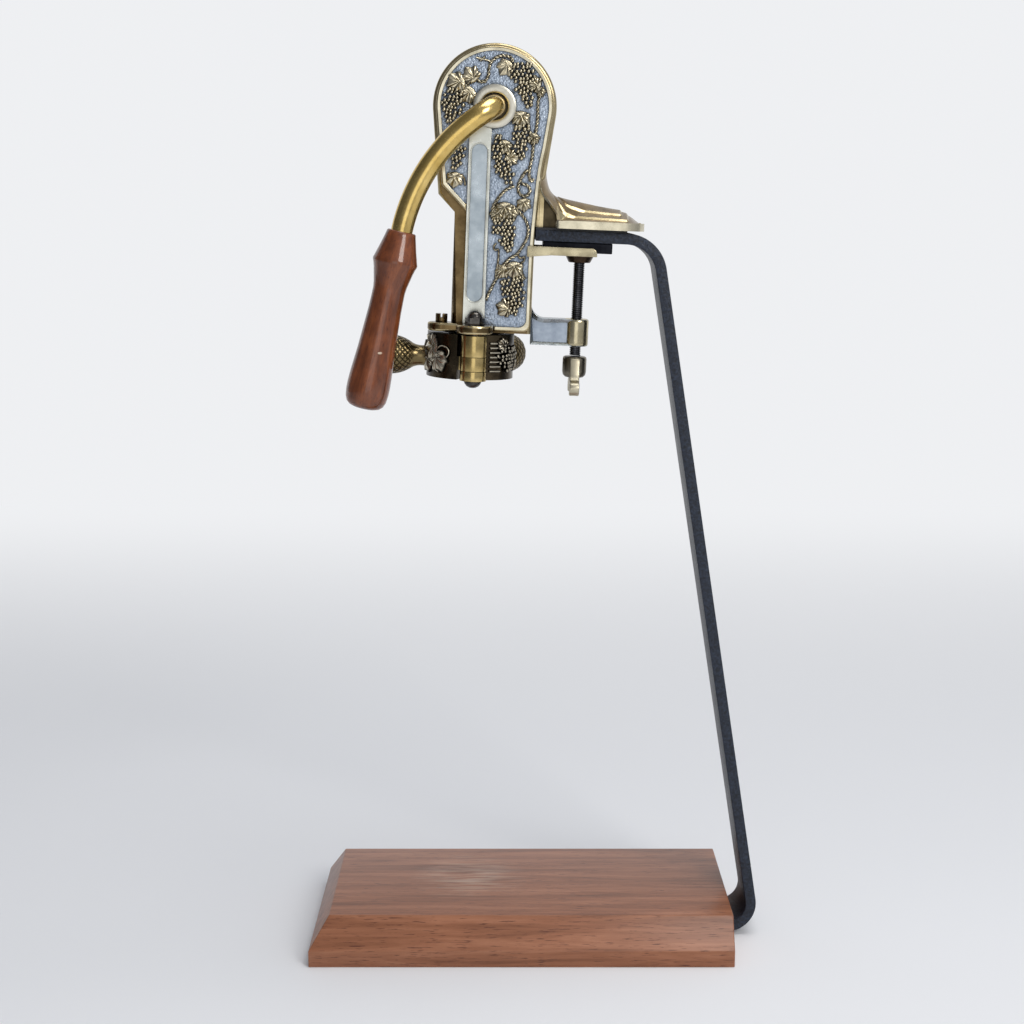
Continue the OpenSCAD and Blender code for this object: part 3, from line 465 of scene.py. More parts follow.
# Front cover: a casting with a raised rim, a hammered blue-grey field and a plain upright strip.
# The strip has a round-ended sunk panel, which is left bare; screws from behind hold the cover.
field_y, rim_y, panel_y, lip_y = -17, -18, -18, -18.45
rim_w, strip_half, panel_half = 2.6, 6.7, 5.1
panel_foot, panel_l, lip_r, lip_sides = -106.2, 80.5, 5.35, 48
field_finish, tree, shader = new_material("cover_hammered_pewter", Metallic=1, Roughness=0.38)
dents = add(tree, "ShaderNodeTexVoronoi", Vector=object_place(tree), Scale=900).outputs["Distance"]
marks = use_group(tree, smudge, Scale=170, Fine=1800)
cloudy = colour_ramp(marks["Cloud"], (0.3, (0.29, 0.35, 0.44)), (0.7, (0.56, 0.64, 0.74)))
dented = mix_colour(tree, dents, (1.2, 1.17, 1.12), (0.55, 0.57, 0.6))
hammered = mix_colour(tree, 1, cloudy, dented, "MULTIPLY")
# The field is painted near-black where the rim and relief shut it in: painted shade and patina
field_shade_mask = shade_and_patina_mask(tree, 2.2, 0.3, 0.9)
feed(shader, Base_Color=mix_colour(tree, field_shade_mask, (0.02, 0.024, 0.03), hammered))
bump(shader, dents, 0.8, -0.3)
rim_finish = antique("rim_pale_brass", (0.44, 0.4, 0.29), (0.7, 0.64, 0.48), (0.16, 0.3))
strip_finish = antique("strip_nickel", (0.44, 0.445, 0.395), (0.61, 0.615, 0.555), (0.2, 0.34))
panel_finish = antique("panel_blue_nickel", (0.27, 0.315, 0.345), (0.42, 0.465, 0.49), (0.24, 0.38))
cover_finishes = [field_finish, rim_finish, strip_finish, edge_finish, panel_finish]
RIM, STRIP, EDGE, PANEL = range(1, 5)
# The casting's right edge as modelled, and as the real one runs, swept out below the waist
sweep_top, cut_top, sweep_end, cut_step = -4.4, -22, -90, -3
drawn_edge = ((33.13, -4.36), (28.6, -38.17), (25.6, -41.17), (25.6, -90))
drawn_inner_edge = ((30.56, -4.02), (26, -37.1), (23, -40.1), (23, -90))
swept_edge = ((33.13, -4.36), (31.57, -15.9), (30.77, -21.9), (29.6, -28), (28.7, -34), (28.1, -40),
              (27.6, -46), (27.1, -54), (26.6, -62), (26.1, -72), (25.7, -82), (25.6, -90))


def edge_x(line, z):
    """The x of a line of (x, z) points at a height."""
    for (x0, z0), (x1, z1) in zip(line, line[1:]):
        if z1 <= z <= z0:
            return x0 + (x1 - x0) * (z0 - z) / (z0 - z1)
    return line[-1][0]


bm = solid_of("front_cover")
for face in bm.faces:
    middle = to_opener @ face.calc_center_median() / MM
    aside = abs(middle.x - worm_x)
    if aside < panel_half and abs(middle.y - panel_y) < 0.05:
        face.material_index = PANEL
    elif middle.y < rim_y - 0.05 or (aside < strip_half and middle.y < field_y - 0.05):
        face.material_index = STRIP
    elif middle.y < field_y - 0.2:
        face.material_index = RIM
    elif middle.y > field_y + 0.1:
        face.material_index = EDGE


def cover_front(edge):
    """Picks edges on the front of the cover."""
    return all(p.y < rim_y + 0.1 for p in in_opener(edge))


def rim_edge(edge):
    """Picks the outer edge of the rim."""
    return cover_front(edge) and {f.material_index for f in edge.link_faces} == {RIM, EDGE}


soften(bm, 1.1, keep=rim_edge, segments=4, index=EDGE)
soften(bm, 0.45, keep=cover_front)
for z in range(cut_top, sweep_end, cut_step):
    bmesh.ops.bisect_plane(bm, geom=[*bm.verts, *bm.edges, *bm.faces], dist=0.001 * MM,
                           plane_co=opener @ Vector((0, 0, z * MM)),
                           plane_no=opener.to_3x3() @ Vector((0, 0, 1)))
for v in bm.verts:
    p = to_opener @ v.co / MM
    from_edge = edge_x(drawn_edge, p.z) - p.x
    if sweep_end < p.z < sweep_top and -0.5 < from_edge < rim_w + 1.7:
        on_outside = from_edge < rim_w / 2
        drawn = edge_x(drawn_edge, p.z) if on_outside else edge_x(drawn_inner_edge, p.z) + rim_w
        p.x += edge_x(swept_edge, p.z) - drawn
        v.co = opener @ (p * MM)
make_piece("cover_casting", bm, cover_finishes, "stand", "cover_pewter", "front_cover", flat_front=True)
# A turn that brings the top of a shape made along Z to the front
towards_front = Matrix.Rotation(radians(90), 4, "X")


def placed(bm, matrix=Matrix.Identity(4)):
    """Moves a shape from its own frame to the opener, and the opener to its place."""
    bmesh.ops.transform(bm, matrix=opener @ matrix, verts=bm.verts)
    return bm


def at(x, y, z):
    """A place in the opener's frame, in millimetres."""
    return Matrix.Translation((x * MM, y * MM, z * MM))


# The panel's raised lip
bm = bmesh.new()
lower_arc = at(worm_x, lip_y, panel_foot) @ towards_front @ Matrix.Rotation(pi / lip_sides, 4, "Z")
bmesh.ops.create_circle(bm, cap_ends=True, segments=lip_sides, radius=lip_r * MM, matrix=lower_arc)
upper = [v for v in bm.verts if v.co.z > panel_foot * MM]
bmesh.ops.translate(bm, verts=upper, vec=(0, 0, panel_l * MM))
for thickness, rise in ((0.25, 0.45), (0.3, 0), (0.25, -0.9)):
    middle = max(bm.faces, key=lambda f: len(f.verts))
    bmesh.ops.inset_region(bm, faces=[middle], thickness=thickness * MM, depth=rise * MM, use_boundary=True,
                           use_even_offset=True)
bmesh.ops.delete(bm, geom=[max(bm.faces, key=lambda f: len(f.verts))], context="FACES_ONLY")
bmesh.ops.bridge_loops(bm, edges=[e for e in bm.edges if e.is_boundary])
turn_out(bm)
make_piece("panel_lip", placed(bm), [strip_finish], "stand", "cover_pewter", sharp=60)

# Grapevine relief: cast in one with the cover, dark in its recesses with patina and painted shade, and bright
# on top where it faces out, with rubbed wear and a painted highlight.
# Seven bunches of grapes hang from a two-strand vine, among lobed leaves and curled tendrils.


def on_cover(u, v, rise):
    """A place above the cover's field: across, up and out, in millimetres."""
    return Vector((u, field_y - rise, v)) * MM


def spline(points, s):
    """The place at s, counted in points, on a smooth curve through points."""
    last = len(points) - 1
    i = min(int(s), last - 1)
    t = s - i
    a, b, c, d = (Vector(points[min(max(k, 0), last)]) for k in (i - 1, i, i + 1, i + 2))
    return b + 0.5 * t * ((c - a) + t * ((2 * a - 5 * b + 4 * c - d) + t * (3 * b - a - 3 * c + d)))


def bunch(bm, surface, stem, berry=1.16, pitch=2.3):
    """Berries in staggered, slightly uneven rows across a stem of (u, v, half width) points."""
    row = 0
    s = 0
    while s <= len(stem) - 1:
        u, v, half = spline(stem, s)
        i = min(int(s), len(stem) - 2)
        along = Vector(stem[i + 1][:2]) - Vector(stem[i][:2])
        across = Vector((-along.y, along.x)).normalized()
        count = max(1, round(2 * half / pitch) + row % 2 * (-1 if half > 3 else 0))
        for k in range(count):
            shake = 0.26 * sin(37 * row + 11 * k)
            stray = 0.26 * cos(23 * row + 17 * k)
            off = (k - (count - 1) / 2) * pitch + stray
            rise = 0.5 + 1.2 * sqrt(max(0, 1 - (off / (half + 1)) ** 2)) + 0.7 * shake
            centre = surface(u + across.x * off + shake, v + across.y * off - stray, rise)
            bmesh.ops.create_uvsphere(bm, u_segments=8, v_segments=6, radius=(berry + 0.4 * stray) * MM,
                                      matrix=Matrix.Translation(centre))
        s += 0.86 * pitch / along.length
        row += 1


def spun(line, steps, turns=1, climb=0):
    """A line of (radius, height) points spun about Z: closed up, or climbing at each step."""
    bm = bmesh.new()
    verts = [bm.verts.new((r, 0, z)) for r, z in line]
    edges = [bm.edges.new(pair) for pair in zip(verts, verts[1:])]
    bmesh.ops.spin(bm, geom=edges, cent=(0, 0, 0), axis=(0, 0, 1), angle=turns * tau, steps=steps,
                   dvec=(0, 0, climb), use_merge=not climb)
    return bm


def vine_leaf():
    """A five-lobed leaf about 1 long in X and Y, its tip towards +X, folded along its veins in Z."""
    bm = spun([(r, 0) for r in (0, 0.16, 0.3, 0.44, 0.58, 0.72, 0.86, 1)], 72)
    bmesh.ops.remove_doubles(bm, verts=bm.verts, dist=0.0001)
    lobes = ((0, 1), (48, 0.85), (-48, 0.85), (98, 0.62), (-98, 0.62))
    for v in bm.verts:
        turn = degrees(atan2(v.co.y, v.co.x))
        share = v.co.xy.length
        gaps = [min(abs(turn - lobe), 360 - abs(turn - lobe)) for lobe, _ in lobes]
        point = max(weight * exp(-(gap / 22) ** 2) for gap, (_, weight) in zip(gaps, lobes))
        reach = 0.36 + 0.42 * cos(radians(turn / 2)) ** 2 + 0.3 * point
        reach += 0.03 * cos(radians(17 * turn))
        fold = (exp(-(min(gaps) / 10) ** 2) - 0.5) * min(1, 2.5 * share) * (1.1 - 0.5 * share)
        v.co.x = 1.4 * (v.co.x * reach - 0.42)
        v.co.y = 1.4 * v.co.y * reach
        v.co.z = 0.35 + 0.65 * sin(pi * (0.12 + 0.76 * share)) + 0.62 * fold
    rim = [e for e in bm.edges if e.is_boundary]
    for v in only(BMVert, bmesh.ops.extrude_edge_only(bm, edges=rim)["geom"]):
        v.co.z = -0.3
    turn_out(bm)
    mesh = bpy.data.meshes.new("vine_leaf")
    bm.to_mesh(mesh)
    bm.free()
    return mesh


def leaf(bm, surface, shape, u, v, size, tip, rise):
    """A leaf on a surface: its middle, its size, where its tip points and how high it stands."""
    copy = shape.copy()
    turn = Matrix.Rotation(radians(tip), 2)
    for vert in copy.vertices:
        flat = turn @ vert.co.xy * size
        vert.co = surface(u + flat.x, v + flat.y, vert.co.z * rise)
    bm.from_mesh(copy)
    bpy.data.meshes.remove(copy)


def vine(bm, surface, points, strands=2, thick=0.55, twist=4.6):
    """A twisted vine along a surface through (u, v) points."""
    data = bpy.data.curves.new("vine", "CURVE")
    data.dimensions = "3D"
    data.bevel_depth = thick * MM
    data.bevel_resolution = 1
    data.use_fill_caps = True
    path = []
    for i, (a, b) in enumerate(zip(points, points[1:])):
        steps = round(2 + 2 * (Vector(b) - Vector(a)).length)
        path += [spline(points, i + k / steps) for k in range(steps)]
    path.append(Vector(points[-1]))
    for strand in range(strands):
        line = data.splines.new("POLY")
        line.points.add(len(path) - 1)
        length = 0
        for i, p in enumerate(path):
            ahead = path[min(i + 1, len(path) - 1)] - path[max(i - 1, 0)]
            length += (p - path[i - 1]).length if i else 0
            sideways = Vector((-ahead.y, ahead.x)).normalized()
            turn = tau * (length / twist + strand / strands)
            wide = 0.5 * cos(turn) if strands > 1 else 0
            high = 0.6 + (0.42 * sin(turn) if strands > 1 else 0)
            line.points[i].co = (*surface(p.x + sideways.x * wide, p.y + sideways.y * wide, high), 1)
    rope = bpy.data.objects.new("vine", data)
    scene.collection.objects.link(rope)
    mesh = bpy.data.meshes.new_from_object(rope.evaluated_get(bpy.context.evaluated_depsgraph_get()))
    bm.from_mesh(mesh)
    bpy.data.objects.remove(rope)
    bpy.data.curves.remove(data)
    bpy.data.meshes.remove(mesh)


def face_out(bm, outwards):
    """Stores how squarely each point of an ornament faces out of its surface, for its rubbed wear and painted
    highlight.
    """
    bm.normal_update()
    polish_and_highlight = bm.verts.layers.float.new("polish_and_highlight")
    for v in bm.verts:
        v[polish_and_highlight] = v.normal.dot(outwards(v.co))


def rubbed_and_lit_ornament(name, dark, bright, rough, squarely, reach):
    """A relief near-black in its hollows with patina and painted shade, and bright where it faces out, with
    rubbed wear and a painted highlight.
    """
    material, tree, shader = new_material(name, Metallic=1)
    polish_and_highlight = add(tree, "ShaderNodeAttribute", attribute_name="polish_and_highlight").outputs["Fac"]
    # Faces turned outwards are painted bright as a highlight and rubbed wear; hollows are painted dark as
    # shade and patina
    worn_and_lit = calculate(tree, "MULTIPLY", map_range(polish_and_highlight, *squarely), shade_and_patina_mask(tree, reach, 0.3, 0.75))
    marks = use_group(tree, smudge, Scale=260, Fine=1600)
    half_rubbed_half_lit = tuple(0.26 * c for c in bright)
    rubbing_and_highlight = colour_ramp(worn_and_lit, (0, dark), (0.4, half_rubbed_half_lit), (0.95, bright))
    cloudy = mix_colour(tree, marks["Cloud"], (0.6, 0.6, 0.6), (1.1, 1.1, 1.1))
    feed(shader, Base_Color=mix_colour(tree, 1, rubbing_and_highlight, cloudy, "MULTIPLY"),
         Roughness=map_range(worn_and_lit, 0, 1, rough[1], rough[0]))
    bump(shader, marks["Scratch"], 0.4, 0.03)
    return material


relief_finish = rubbed_and_lit_ornament("relief_antique_brass", (0.045, 0.037, 0.026), (0.68, 0.6, 0.42),
                                (0.18, 0.4), (0.1, 1), 0.7)
bm = bmesh.new()
for stem in (
    ((-22.8, 7.9, 4.7), (-23.9, 2.6, 6.6), (-24.1, -1.1, 6.6), (-24.9, -4.8, 5), (-25.4, -7.8, 3.3),
     (-25.7, -10.4, 1.4)),
    ((14.7, 23.8, 6.3), (15, 18.3, 7), (14.8, 13.1, 5.5), (17.3, 8.8, 4.5), (18.6, 4.4, 3.8),
     (19.9, 0.4, 1.7)),
    ((15.8, -10.5, 5.1), (16.4, -15.7, 6), (15.9, -20.2, 5.1), (15.2, -24, 3.5), (17.3, -28, 1.7)),
    ((3.1, -16.3, 2.6), (2.5, -23, 3), (2.8, -29, 3.6), (6.1, -33.4, 5.4), (8.6, -37.8, 4.3),
     (9.5, -43, 1.6)),
    ((-18, -23.9, 3), (-19.7, -29.2, 3.6), (-21.3, -33, 3.2), (-22.5, -36.4, 1.7)),
    ((7.9, -63.7, 6.6), (8.1, -68.2, 7.2), (7.9, -71.6, 6.9), (10.1, -75.5, 4.8), (11.4, -78.8, 3),
     (11.5, -81.9, 1.2)),
    ((13.3, -97.4, 6.6), (14.3, -101.3, 7.1), (14.9, -105.2, 6.4), (16.1, -109.1, 5.2), (17, -113.1, 4.2),
     (15.8, -117.2, 1.9)),
):
    bunch(bm, on_cover, stem)
leaf_shape = vine_leaf()
for u, v, size, tip, rise in (
    (-23.1, 12, 5.4, 200, 1.7), (-16.4, 5.4, 5, 225, 1.4), (-14.6, 17.4, 4.9, 130, 1.5),
    (4.8, 21, 4.7, 235, 1.2), (21.2, 13.6, 4.4, 160, 1.8), (26, 8.6, 2.8, 300, 1.7),
    (15.3, -7.4, 5, 270, 2.1), (6.4, -22.9, 4.2, 255, 1.9), (11.6, -27.9, 4.2, 15, 1.7),
    (22.6, -17.5, 3.4, 250, 1.9), (-21.5, -42.4, 4.6, 265, 1.4), (18.9, -54.9, 4, 275, 1.6),
    (3.4, -61.2, 4, 240, 1.9), (7.9, -58.6, 5, 268, 2.2), (12.4, -60.4, 3.8, 300, 1.9),
    (14.8, -92.4, 5.2, 270, 2.1), (7.9, -93.4, 4, 245, 1.6), (19, -96.4, 2.6, 290, 1.7),
    (9.6, -113.2, 5, 165, 1.6),
):
    leaf(bm, on_cover, leaf_shape, u, v, size, tip, rise)
for points in (
    ((-10.3, 13.6), (-6.5, 13.4), (-4.3, 16.8), (-4.1, 20.5), (-3.1, 24.2), (-0.2, 26.9), (3.6, 28.1),
     (8.1, 27.2), (9.1, 24.8)),
    ((26.1, 7.7), (24.7, 4.7), (24.6, -1.3), (24.7, -5.7), (24.1, -11.7), (23.6, -16.9), (22.8, -22.2),
     (22.5, -27.4), (21.4, -33.5), (21.2, -38), (22.5, -41), (23.6, -39.5)),
    ((19.9, -34.7), (17, -38.9), (15.3, -43.5), (15.5, -46.9), (17.9, -49.4), (20.9, -48.7), (22.1, -45.9),
     (20.3, -43.3), (17, -42.6)),
    ((12.7, -44), (8.2, -46.4), (4.5, -50.7), (1.6, -55.4), (1, -59.2), (1.2, -63.5)),
    ((12.7, -55.7), (16.8, -58.9), (20.4, -63.2), (22, -68.2), (21.4, -73.3), (18.8, -78.5), (16.1, -82.5),
     (11.7, -85.5), (8.4, -89.3), (6.3, -93.1), (4.7, -97.1), (2.9, -100.9), (0.9, -105.3), (-0.7, -109.6)),
):
    vine(bm, on_cover, points)
for points in (
    ((-11.5, 26.4), (-8.5, 25.8), (-4.6, 25), (-3.1, 24.2)),
    ((-9.4, 24.6), (-8, 26), (-6.6, 27.2)),
    ((-17.5, -38.5), (-15.8, -41), (-15.2, -44.8)),
    ((3.9, -76.8), (2.5, -78.9), (3.5, -80.8), (5.2, -80.2), (5.6, -83), (5.4, -86.9), (4.8, -91.5),
     (4.2, -96)),
    ((16.4, -81.9), (17.9, -84.7), (20.4, -84), (20.3, -86.3), (18.6, -87.5)),
    ((1.4, -60.5), (2.5, -56.7), (6.4, -54.6), (10.4, -54.8), (13.3, -56.3)),
):
    vine(bm, on_cover, points, strands=1, thick=0.62)
# Faces that look to the front get the painted highlight and rubbed wear
face_out(bm, lambda place: Vector((0, -1, 0)))
make_piece("grapevine_relief", placed(bm), [relief_finish], "stand", "cover_pewter", sharp=60)

# Pivot ring: a pale satin-nickel bearing ring turned on a lathe and pressed into the cover.
# The brass rod of the lever runs in its counterbore with a thin gap around it; the counterbore's wall and
# floor are painted dark as shade.
bore_r, bore_floor = 7.6, 16


def turned(profile, steps=64):
    """A shape turned about Z from (radius, height) pairs in millimetres, pole to pole or as a ring."""
    bm = spun([(r * MM, z * MM) for r, z in profile], steps)
    bmesh.ops.remove_doubles(bm, verts=bm.verts, dist=0.005 * MM)
    turn_out(bm)
    return bm


ring_finish = metal("ring_satin_nickel", (0.5, 0.475, 0.39), (0.61, 0.585, 0.5), (0.28, 0.4))
bore_shade_finish = metal("ring_bore_painted_shade", (0.02, 0.017, 0.012), (0.06, 0.05, 0.035), (0.3, 0.45))
bm = turned([(4.1, 16.95), (7.5, 16.95), (7.5, 19.3), (7.8, 19.75), (8.4, 20), (11.4, 20), (12.1, 19.7),
             (12.4, 19.1), (12.4, 16.95), (8.6, 16.9), (8, 16.6), (8, 10.2), (4.1, 10.2), (4.1, 16.95)])
# Faces inside the counterbore take the dark finish: painted shade
for face in bm.faces:
    middle = face.calc_center_median() / MM
    face.material_index = int(middle.xy.length < bore_r and middle.z > bore_floor)
make_piece("bearing_ring", placed(bm, towards_front), [ring_finish, bore_shade_finish], "stand", "ring_nickel",
           "pivot_ring")

# Lever: a round brass bar, bent to the front out of the head and then down in a long curve,
# polished bright. Its upper end is pinned to the shaft, and its lower end carries the handle's tang.
rod_r, rod_y, bend_y, bend_r, curve_r = 6.2, -16, -22, 12, 105
slope_top, slope_end = radians(53), radians(10.5)
down = Vector((-sin(slope_top), 0, -cos(slope_top)))
side = Vector((cos(slope_top), 0, -sin(slope_top)))
bend_centre = Vector((0, bend_y * MM, 0)) + down * bend_r * MM
curve_centre = bend_centre + Vector((0, -bend_r * MM, 0)) + side * curve_r * MM
handle_top = curve_centre - Vector((cos(slope_end), 0, -sin(slope_end))) * curve_r * MM
lever_finish = metal("lever_satin_brass", (0.56, 0.38, 0.11), (0.76, 0.56, 0.21), (0.16, 0.28), 0.012, 80)


def push(bm, faces, vec):
    """Extrudes faces straight, and gives back what is new."""
    new = bmesh.ops.extrude_face_region(bm, geom=faces)["geom"]
    bmesh.ops.translate(bm, verts=only(BMVert, new), vec=vec)
    return new


bm = bmesh.new()
bmesh.ops.create_circle(bm, cap_ends=True, segments=48, radius=rod_r * MM,
                        matrix=at(0, rod_y, 0) @ towards_front)
start = list(bm.faces)
new = push(bm, start, (0, (bend_y - rod_y) * MM, 0))
bmesh.ops.delete(bm, geom=start, context="FACES_ONLY")
for centre, axis, angle, steps in ((bend_centre, side, radians(90), 20),
                                   (curve_centre, (0, 1, 0), slope_end - slope_top, 40)):
    new = bmesh.ops.spin(bm, geom=only(BMFace, new), cent=centre, axis=axis, angle=angle,
                         steps=steps)["geom_last"]
bmesh.ops.remove_doubles(bm, verts=bm.verts, dist=0.005 * MM)
turn_out(bm)
make_piece("lever_bar", placed(bm), [lever_finish], "lever", "lever_brass", "lever_arm")

# Handle: turned from one piece of red-brown hardwood, with a collar below a short cone at the top,
# a waist, and a swelling foot. It is stained, glossily varnished, and driven on to the steel tang.
handle_finish, tree, shader = new_material("handle_varnished_wood", Roughness=0.38, Specular_IOR_Level=0.2,
                                           Coat_Weight=0.8, Coat_Roughness=0.07)
place = object_place(tree)
lengthways = add(tree, "ShaderNodeMapping", Vector=place,
                 Rotation=(0, radians(90) - slope_end - lean, 0)).outputs["Vector"]
wood = use_group(tree, grain, Vector=lengthways, Length=8, Pores=0.7)
tones = ((0.3, (0.085, 0.022, 0.007)), (0.5, (0.175, 0.047, 0.014)), (0.7, (0.28, 0.083, 0.025)))
blotch = noise(place, 130, 4)
toned = timber(tree, wood, tones, (0.05, 0.012, 0.006), blotch, ((0.45, 0.42, 0.38), (1.5, 1.5, 1.5)))
# A small pale nick in the varnish at the waist
nick = map_range(spot(place, (-0.0806, -0.0445, 0.3624), (680, 240, 1250)), 0.05, 0.3)
feed(shader, Base_Color=mix_colour(tree, nick, toned, (0.55, 0.43, 0.31)))
bump(shader, wood["Pore"], 0.15, -0.05)
bm = turned([(0, 0), (7.7, 0), (8.3, -0.6), (8.7, -2.5), (10.7, -10), (12.4, -15.8), (12.9, -17.4),
             (12.75, -18.4), (12.2, -19.8), (11.4, -22.6), (10.5, -26.8), (9.7, -30.5), (9.3, -34),
             (9.35, -39), (9.5, -45), (9.95, -53), (10.4, -61), (10.9, -69), (11.6, -77), (12.1, -83),
             (12.4, -88.5), (12.4, -93), (11.9, -97.5), (10.8, -100.3), (9, -102), (6.5, -102.9), (0, -103)])
make_piece("turned_handle", placed(bm, Matrix.Translation(handle_top) @ Matrix.Rotation(slope_end, 4, "Y")),
           [handle_finish], "lever", "handle_wood", "wooden_handle", sharp=50)

# Neck clamp: two cast jaws, antiqued dark and polished at the knuckles, that close on the bottle's
# neck. They hinge on a bolt with a domed head and an acorn nut, and each has a ball grip.
jaw_finish = antique("jaw_antique_bronze", (0.016, 0.013, 0.01), (0.095, 0.072, 0.042), (0.18, 0.38))
knuckle_finish = antique("knuckle_polished_brass", (0.36, 0.26, 0.09), (0.62, 0.47, 0.21), (0.14, 0.28), 0.01)
grip_finish = rubbed_and_lit_ornament("grip_knurled_brass", (0.03, 0.024, 0.012), (0.2, 0.15, 0.072), (0.22, 0.42),
                              (0.2, 0.9), 0.8)
jaw_relief_finish = rubbed_and_lit_ornament("jaw_relief_brass", (0.018, 0.015, 0.012), (0.8, 0.72, 0.56),
                                    (0.18, 0.4), (0.52, 1), 0.9)
knuckle_r = 8.2
neck = Vector((worm_x * MM, 0, 0))
grip_z, grip_sunk, stub_l = -144.6, 1.5, 2
grip_line = ((6.8, 0), (6.3, 2), (6, 4.5), (6.2, 7), (7, 9.5), (8.5, 12), (10, 15), (11, 18), (11.5, 21),
             (11.6, 25), (10.8, 28), (8.2, 31), (4.4, 33), (0, 33.7))
ball_from, ball_to = 10, 32
knurls, knurl_pitch, knurl_half, knurl_depth = 16, 3.4, 0.2, 0.42
bars, bar_from, bar_to, bar_top, bar_step = 7, 10.4, 17.4, -134.2, 2.7


def out_of_neck(place):
    """The way straight out from the bottle neck's axis."""
    return Vector((place.x - neck.x, place.y, 0)).normalized()


def on_jaw(radius):
    """A jaw's outside as a surface: u runs round it from the front, v is the height."""
    def surface(u, v, rise):
        turn = radians(270) + u / radius
        out = Vector((cos(turn), sin(turn), 0)) * (radius + rise)
        return neck + (out + Vector((0, 0, v))) * MM
    return surface


def smooth(points, steps):
    """Points on a smooth curve, so many steps from each given point to the next."""
    return [spline(points, k / steps) for k in range(steps * (len(points) - 1) + 1)]


def knurled_grip():
    """A grip along Z, its ball cut all over with crossed grooves."""
    bm = turned(smooth(grip_line, 6), 8 * knurls)
    polish_and_highlight = bm.verts.layers.float.new("polish_and_highlight")
    for v in bm.verts:
        s = v.co.z / MM
        round_share = knurls * atan2(v.co.y, v.co.x) / tau
        cut = 0
        for way in (-1, 1):
            phase = round_share + way * s / knurl_pitch
            cut = max(cut, 1 - abs(phase - round(phase)) / knurl_half)
        cut *= max(0, min(1, (s - ball_from) / 2, (ball_to - s) / 2))
        # Grooves are marked low, so the finish paints them dark with patina and painted shade; the lands are
        # marked high, rubbed bright
        v[polish_and_highlight] = 1 - cut
        if cut > 0:
            v.co.xy *= 1 - knurl_depth * cut * MM / v.co.xy.length
    return bm


for name, jaw_r, turn in (("left", 27.1, 180), ("right", 24.1, 64)):
    body = name + "_clamp"
    root = jaw_r - grip_sunk
    grip_way = Vector((cos(radians(turn)), sin(radians(turn)), 0))
    bm = solid_of(name + "_jaw")
    # The casting without its grip, which is a turned piece of its own
    bmesh.ops.bisect_plane(bm, geom=[*bm.verts, *bm.edges, *bm.faces], dist=0.001 * MM, clear_outer=True,
                           plane_co=opener @ (neck + grip_way * (root + stub_l) * MM),
                           plane_no=opener.to_3x3() @ grip_way)
    bmesh.ops.holes_fill(bm, edges=[e for e in bm.edges if e.is_boundary])
    for face in bm.faces:
        middle = to_opener @ face.calc_center_median() / MM
        face.material_index = int((middle.xy - hinge).length < knuckle_r)
    soften(bm, 0.5, least=40)
    make_piece(name + "_jaw_casting", bm, [jaw_finish, knuckle_finish], body, "jaw_bronze", name + "_jaw")
    sideways = Matrix.Rotation(radians(turn), 4, "Z") @ Matrix.Rotation(radians(90), 4, "Y")
    bm = placed(knurled_grip(), at(worm_x, 0, grip_z) @ sideways @ at(0, 0, root))
    make_piece(name + "_grip", bm, [grip_finish], body, "jaw_bronze", sharp=60)
    bm = bmesh.new()
    surface = on_jaw(jaw_r)
    if name == "left":
        for u, v, size, tip, rise in ((-30, -138, 7.2, 190, 1.9), (-20.5, -146.5, 6.2, 300, 2),
                                      (-34, -147.5, 6.4, 235, 1.8), (-40, -140.5, 5.5, 150, 1.6)):
            leaf(bm, surface, leaf_shape, u, v, size, tip, rise)
        vine(bm, surface, ((-24, -140.5), (-19.5, -136.8), (-15.2, -137.4), (-13.6, -140.4), (-15.6, -143.2),
                           (-18.4, -142), (-17.6, -139.6)), 1, 0.6)
        vine(bm, surface, ((-34, -135), (-30, -142), (-26, -149), (-20, -152)), 1, 0.7)
    else:
        bunch(bm, surface, ((24, -137, 7.5), (24.2, -141, 9), (24.6, -146, 8), (25, -150.5, 4.5)), 1.2, 2.4)
        leaf(bm, surface, leaf_shape, 18, -134.6, 3.6, 160, 2.2)
        for k in range(bars):
            bar_z = bar_top - bar_step * k
            vine(bm, surface, ((bar_from, bar_z), (bar_to, bar_z)), 1, 0.7)
    # Faces that look out from the neck get the painted highlight and rubbed wear
    face_out(bm, out_of_neck)
    make_piece(name + "_jaw_relief", placed(bm), [jaw_relief_finish], body, "jaw_bronze", sharp=60)
bpy.data.meshes.remove(leaf_shape)
bolt_finish = metal("bolt_blackened", (0.045, 0.042, 0.039), (0.12, 0.112, 0.102), (0.12, 0.26))
bm = turned([(0, -160), (2, -159.7), (3.6, -158.8), (4.7, -157.4), (5.15, -156.2), (5.1, -155.95),
             (3, -155.9), (3, -119.5), (0, -119.5)])
make_piece("hinge_pin", placed(bm, at(*hinge, 0)), [bolt_finish], "stand", "bolt_dark", "hinge_bolt")
bm = soften(solid_of("acorn_nut"), 0.35, least=45)
make_piece("domed_nut", bm, [bolt_finish], "stand", "bolt_dark", "acorn_nut")
bm = soften(solid_of("lug_screw"), 0.3, least=45)
make_piece("slotted_screw", bm, [case_finish], "stand", "lever_brass", "lug_screw")

# Hook: a brass casting that runs out of the housing's waist and lies over the bar on a rubber liner,
# its top swept like a saddle and its pad cast with two pointed ridges, antiqued and rubbed bright; the recess
# under the saddle is painted dark as shade.
hook_finish = antique("hook_antique_brass", (0.14, 0.094, 0.044), (0.32, 0.235, 0.12), (0.18, 0.32))
recess_shade_finish = antique("hook_recess_painted_shade", (0.03, 0.024, 0.014), (0.09, 0.07, 0.04), (0.3, 0.45))
hook_finishes = [hook_finish, recess_shade_finish, edge_finish, rim_finish]
HOOK_SHADED_RECESS, HOOK_EDGE, HOOK_RIM = range(1, 4)
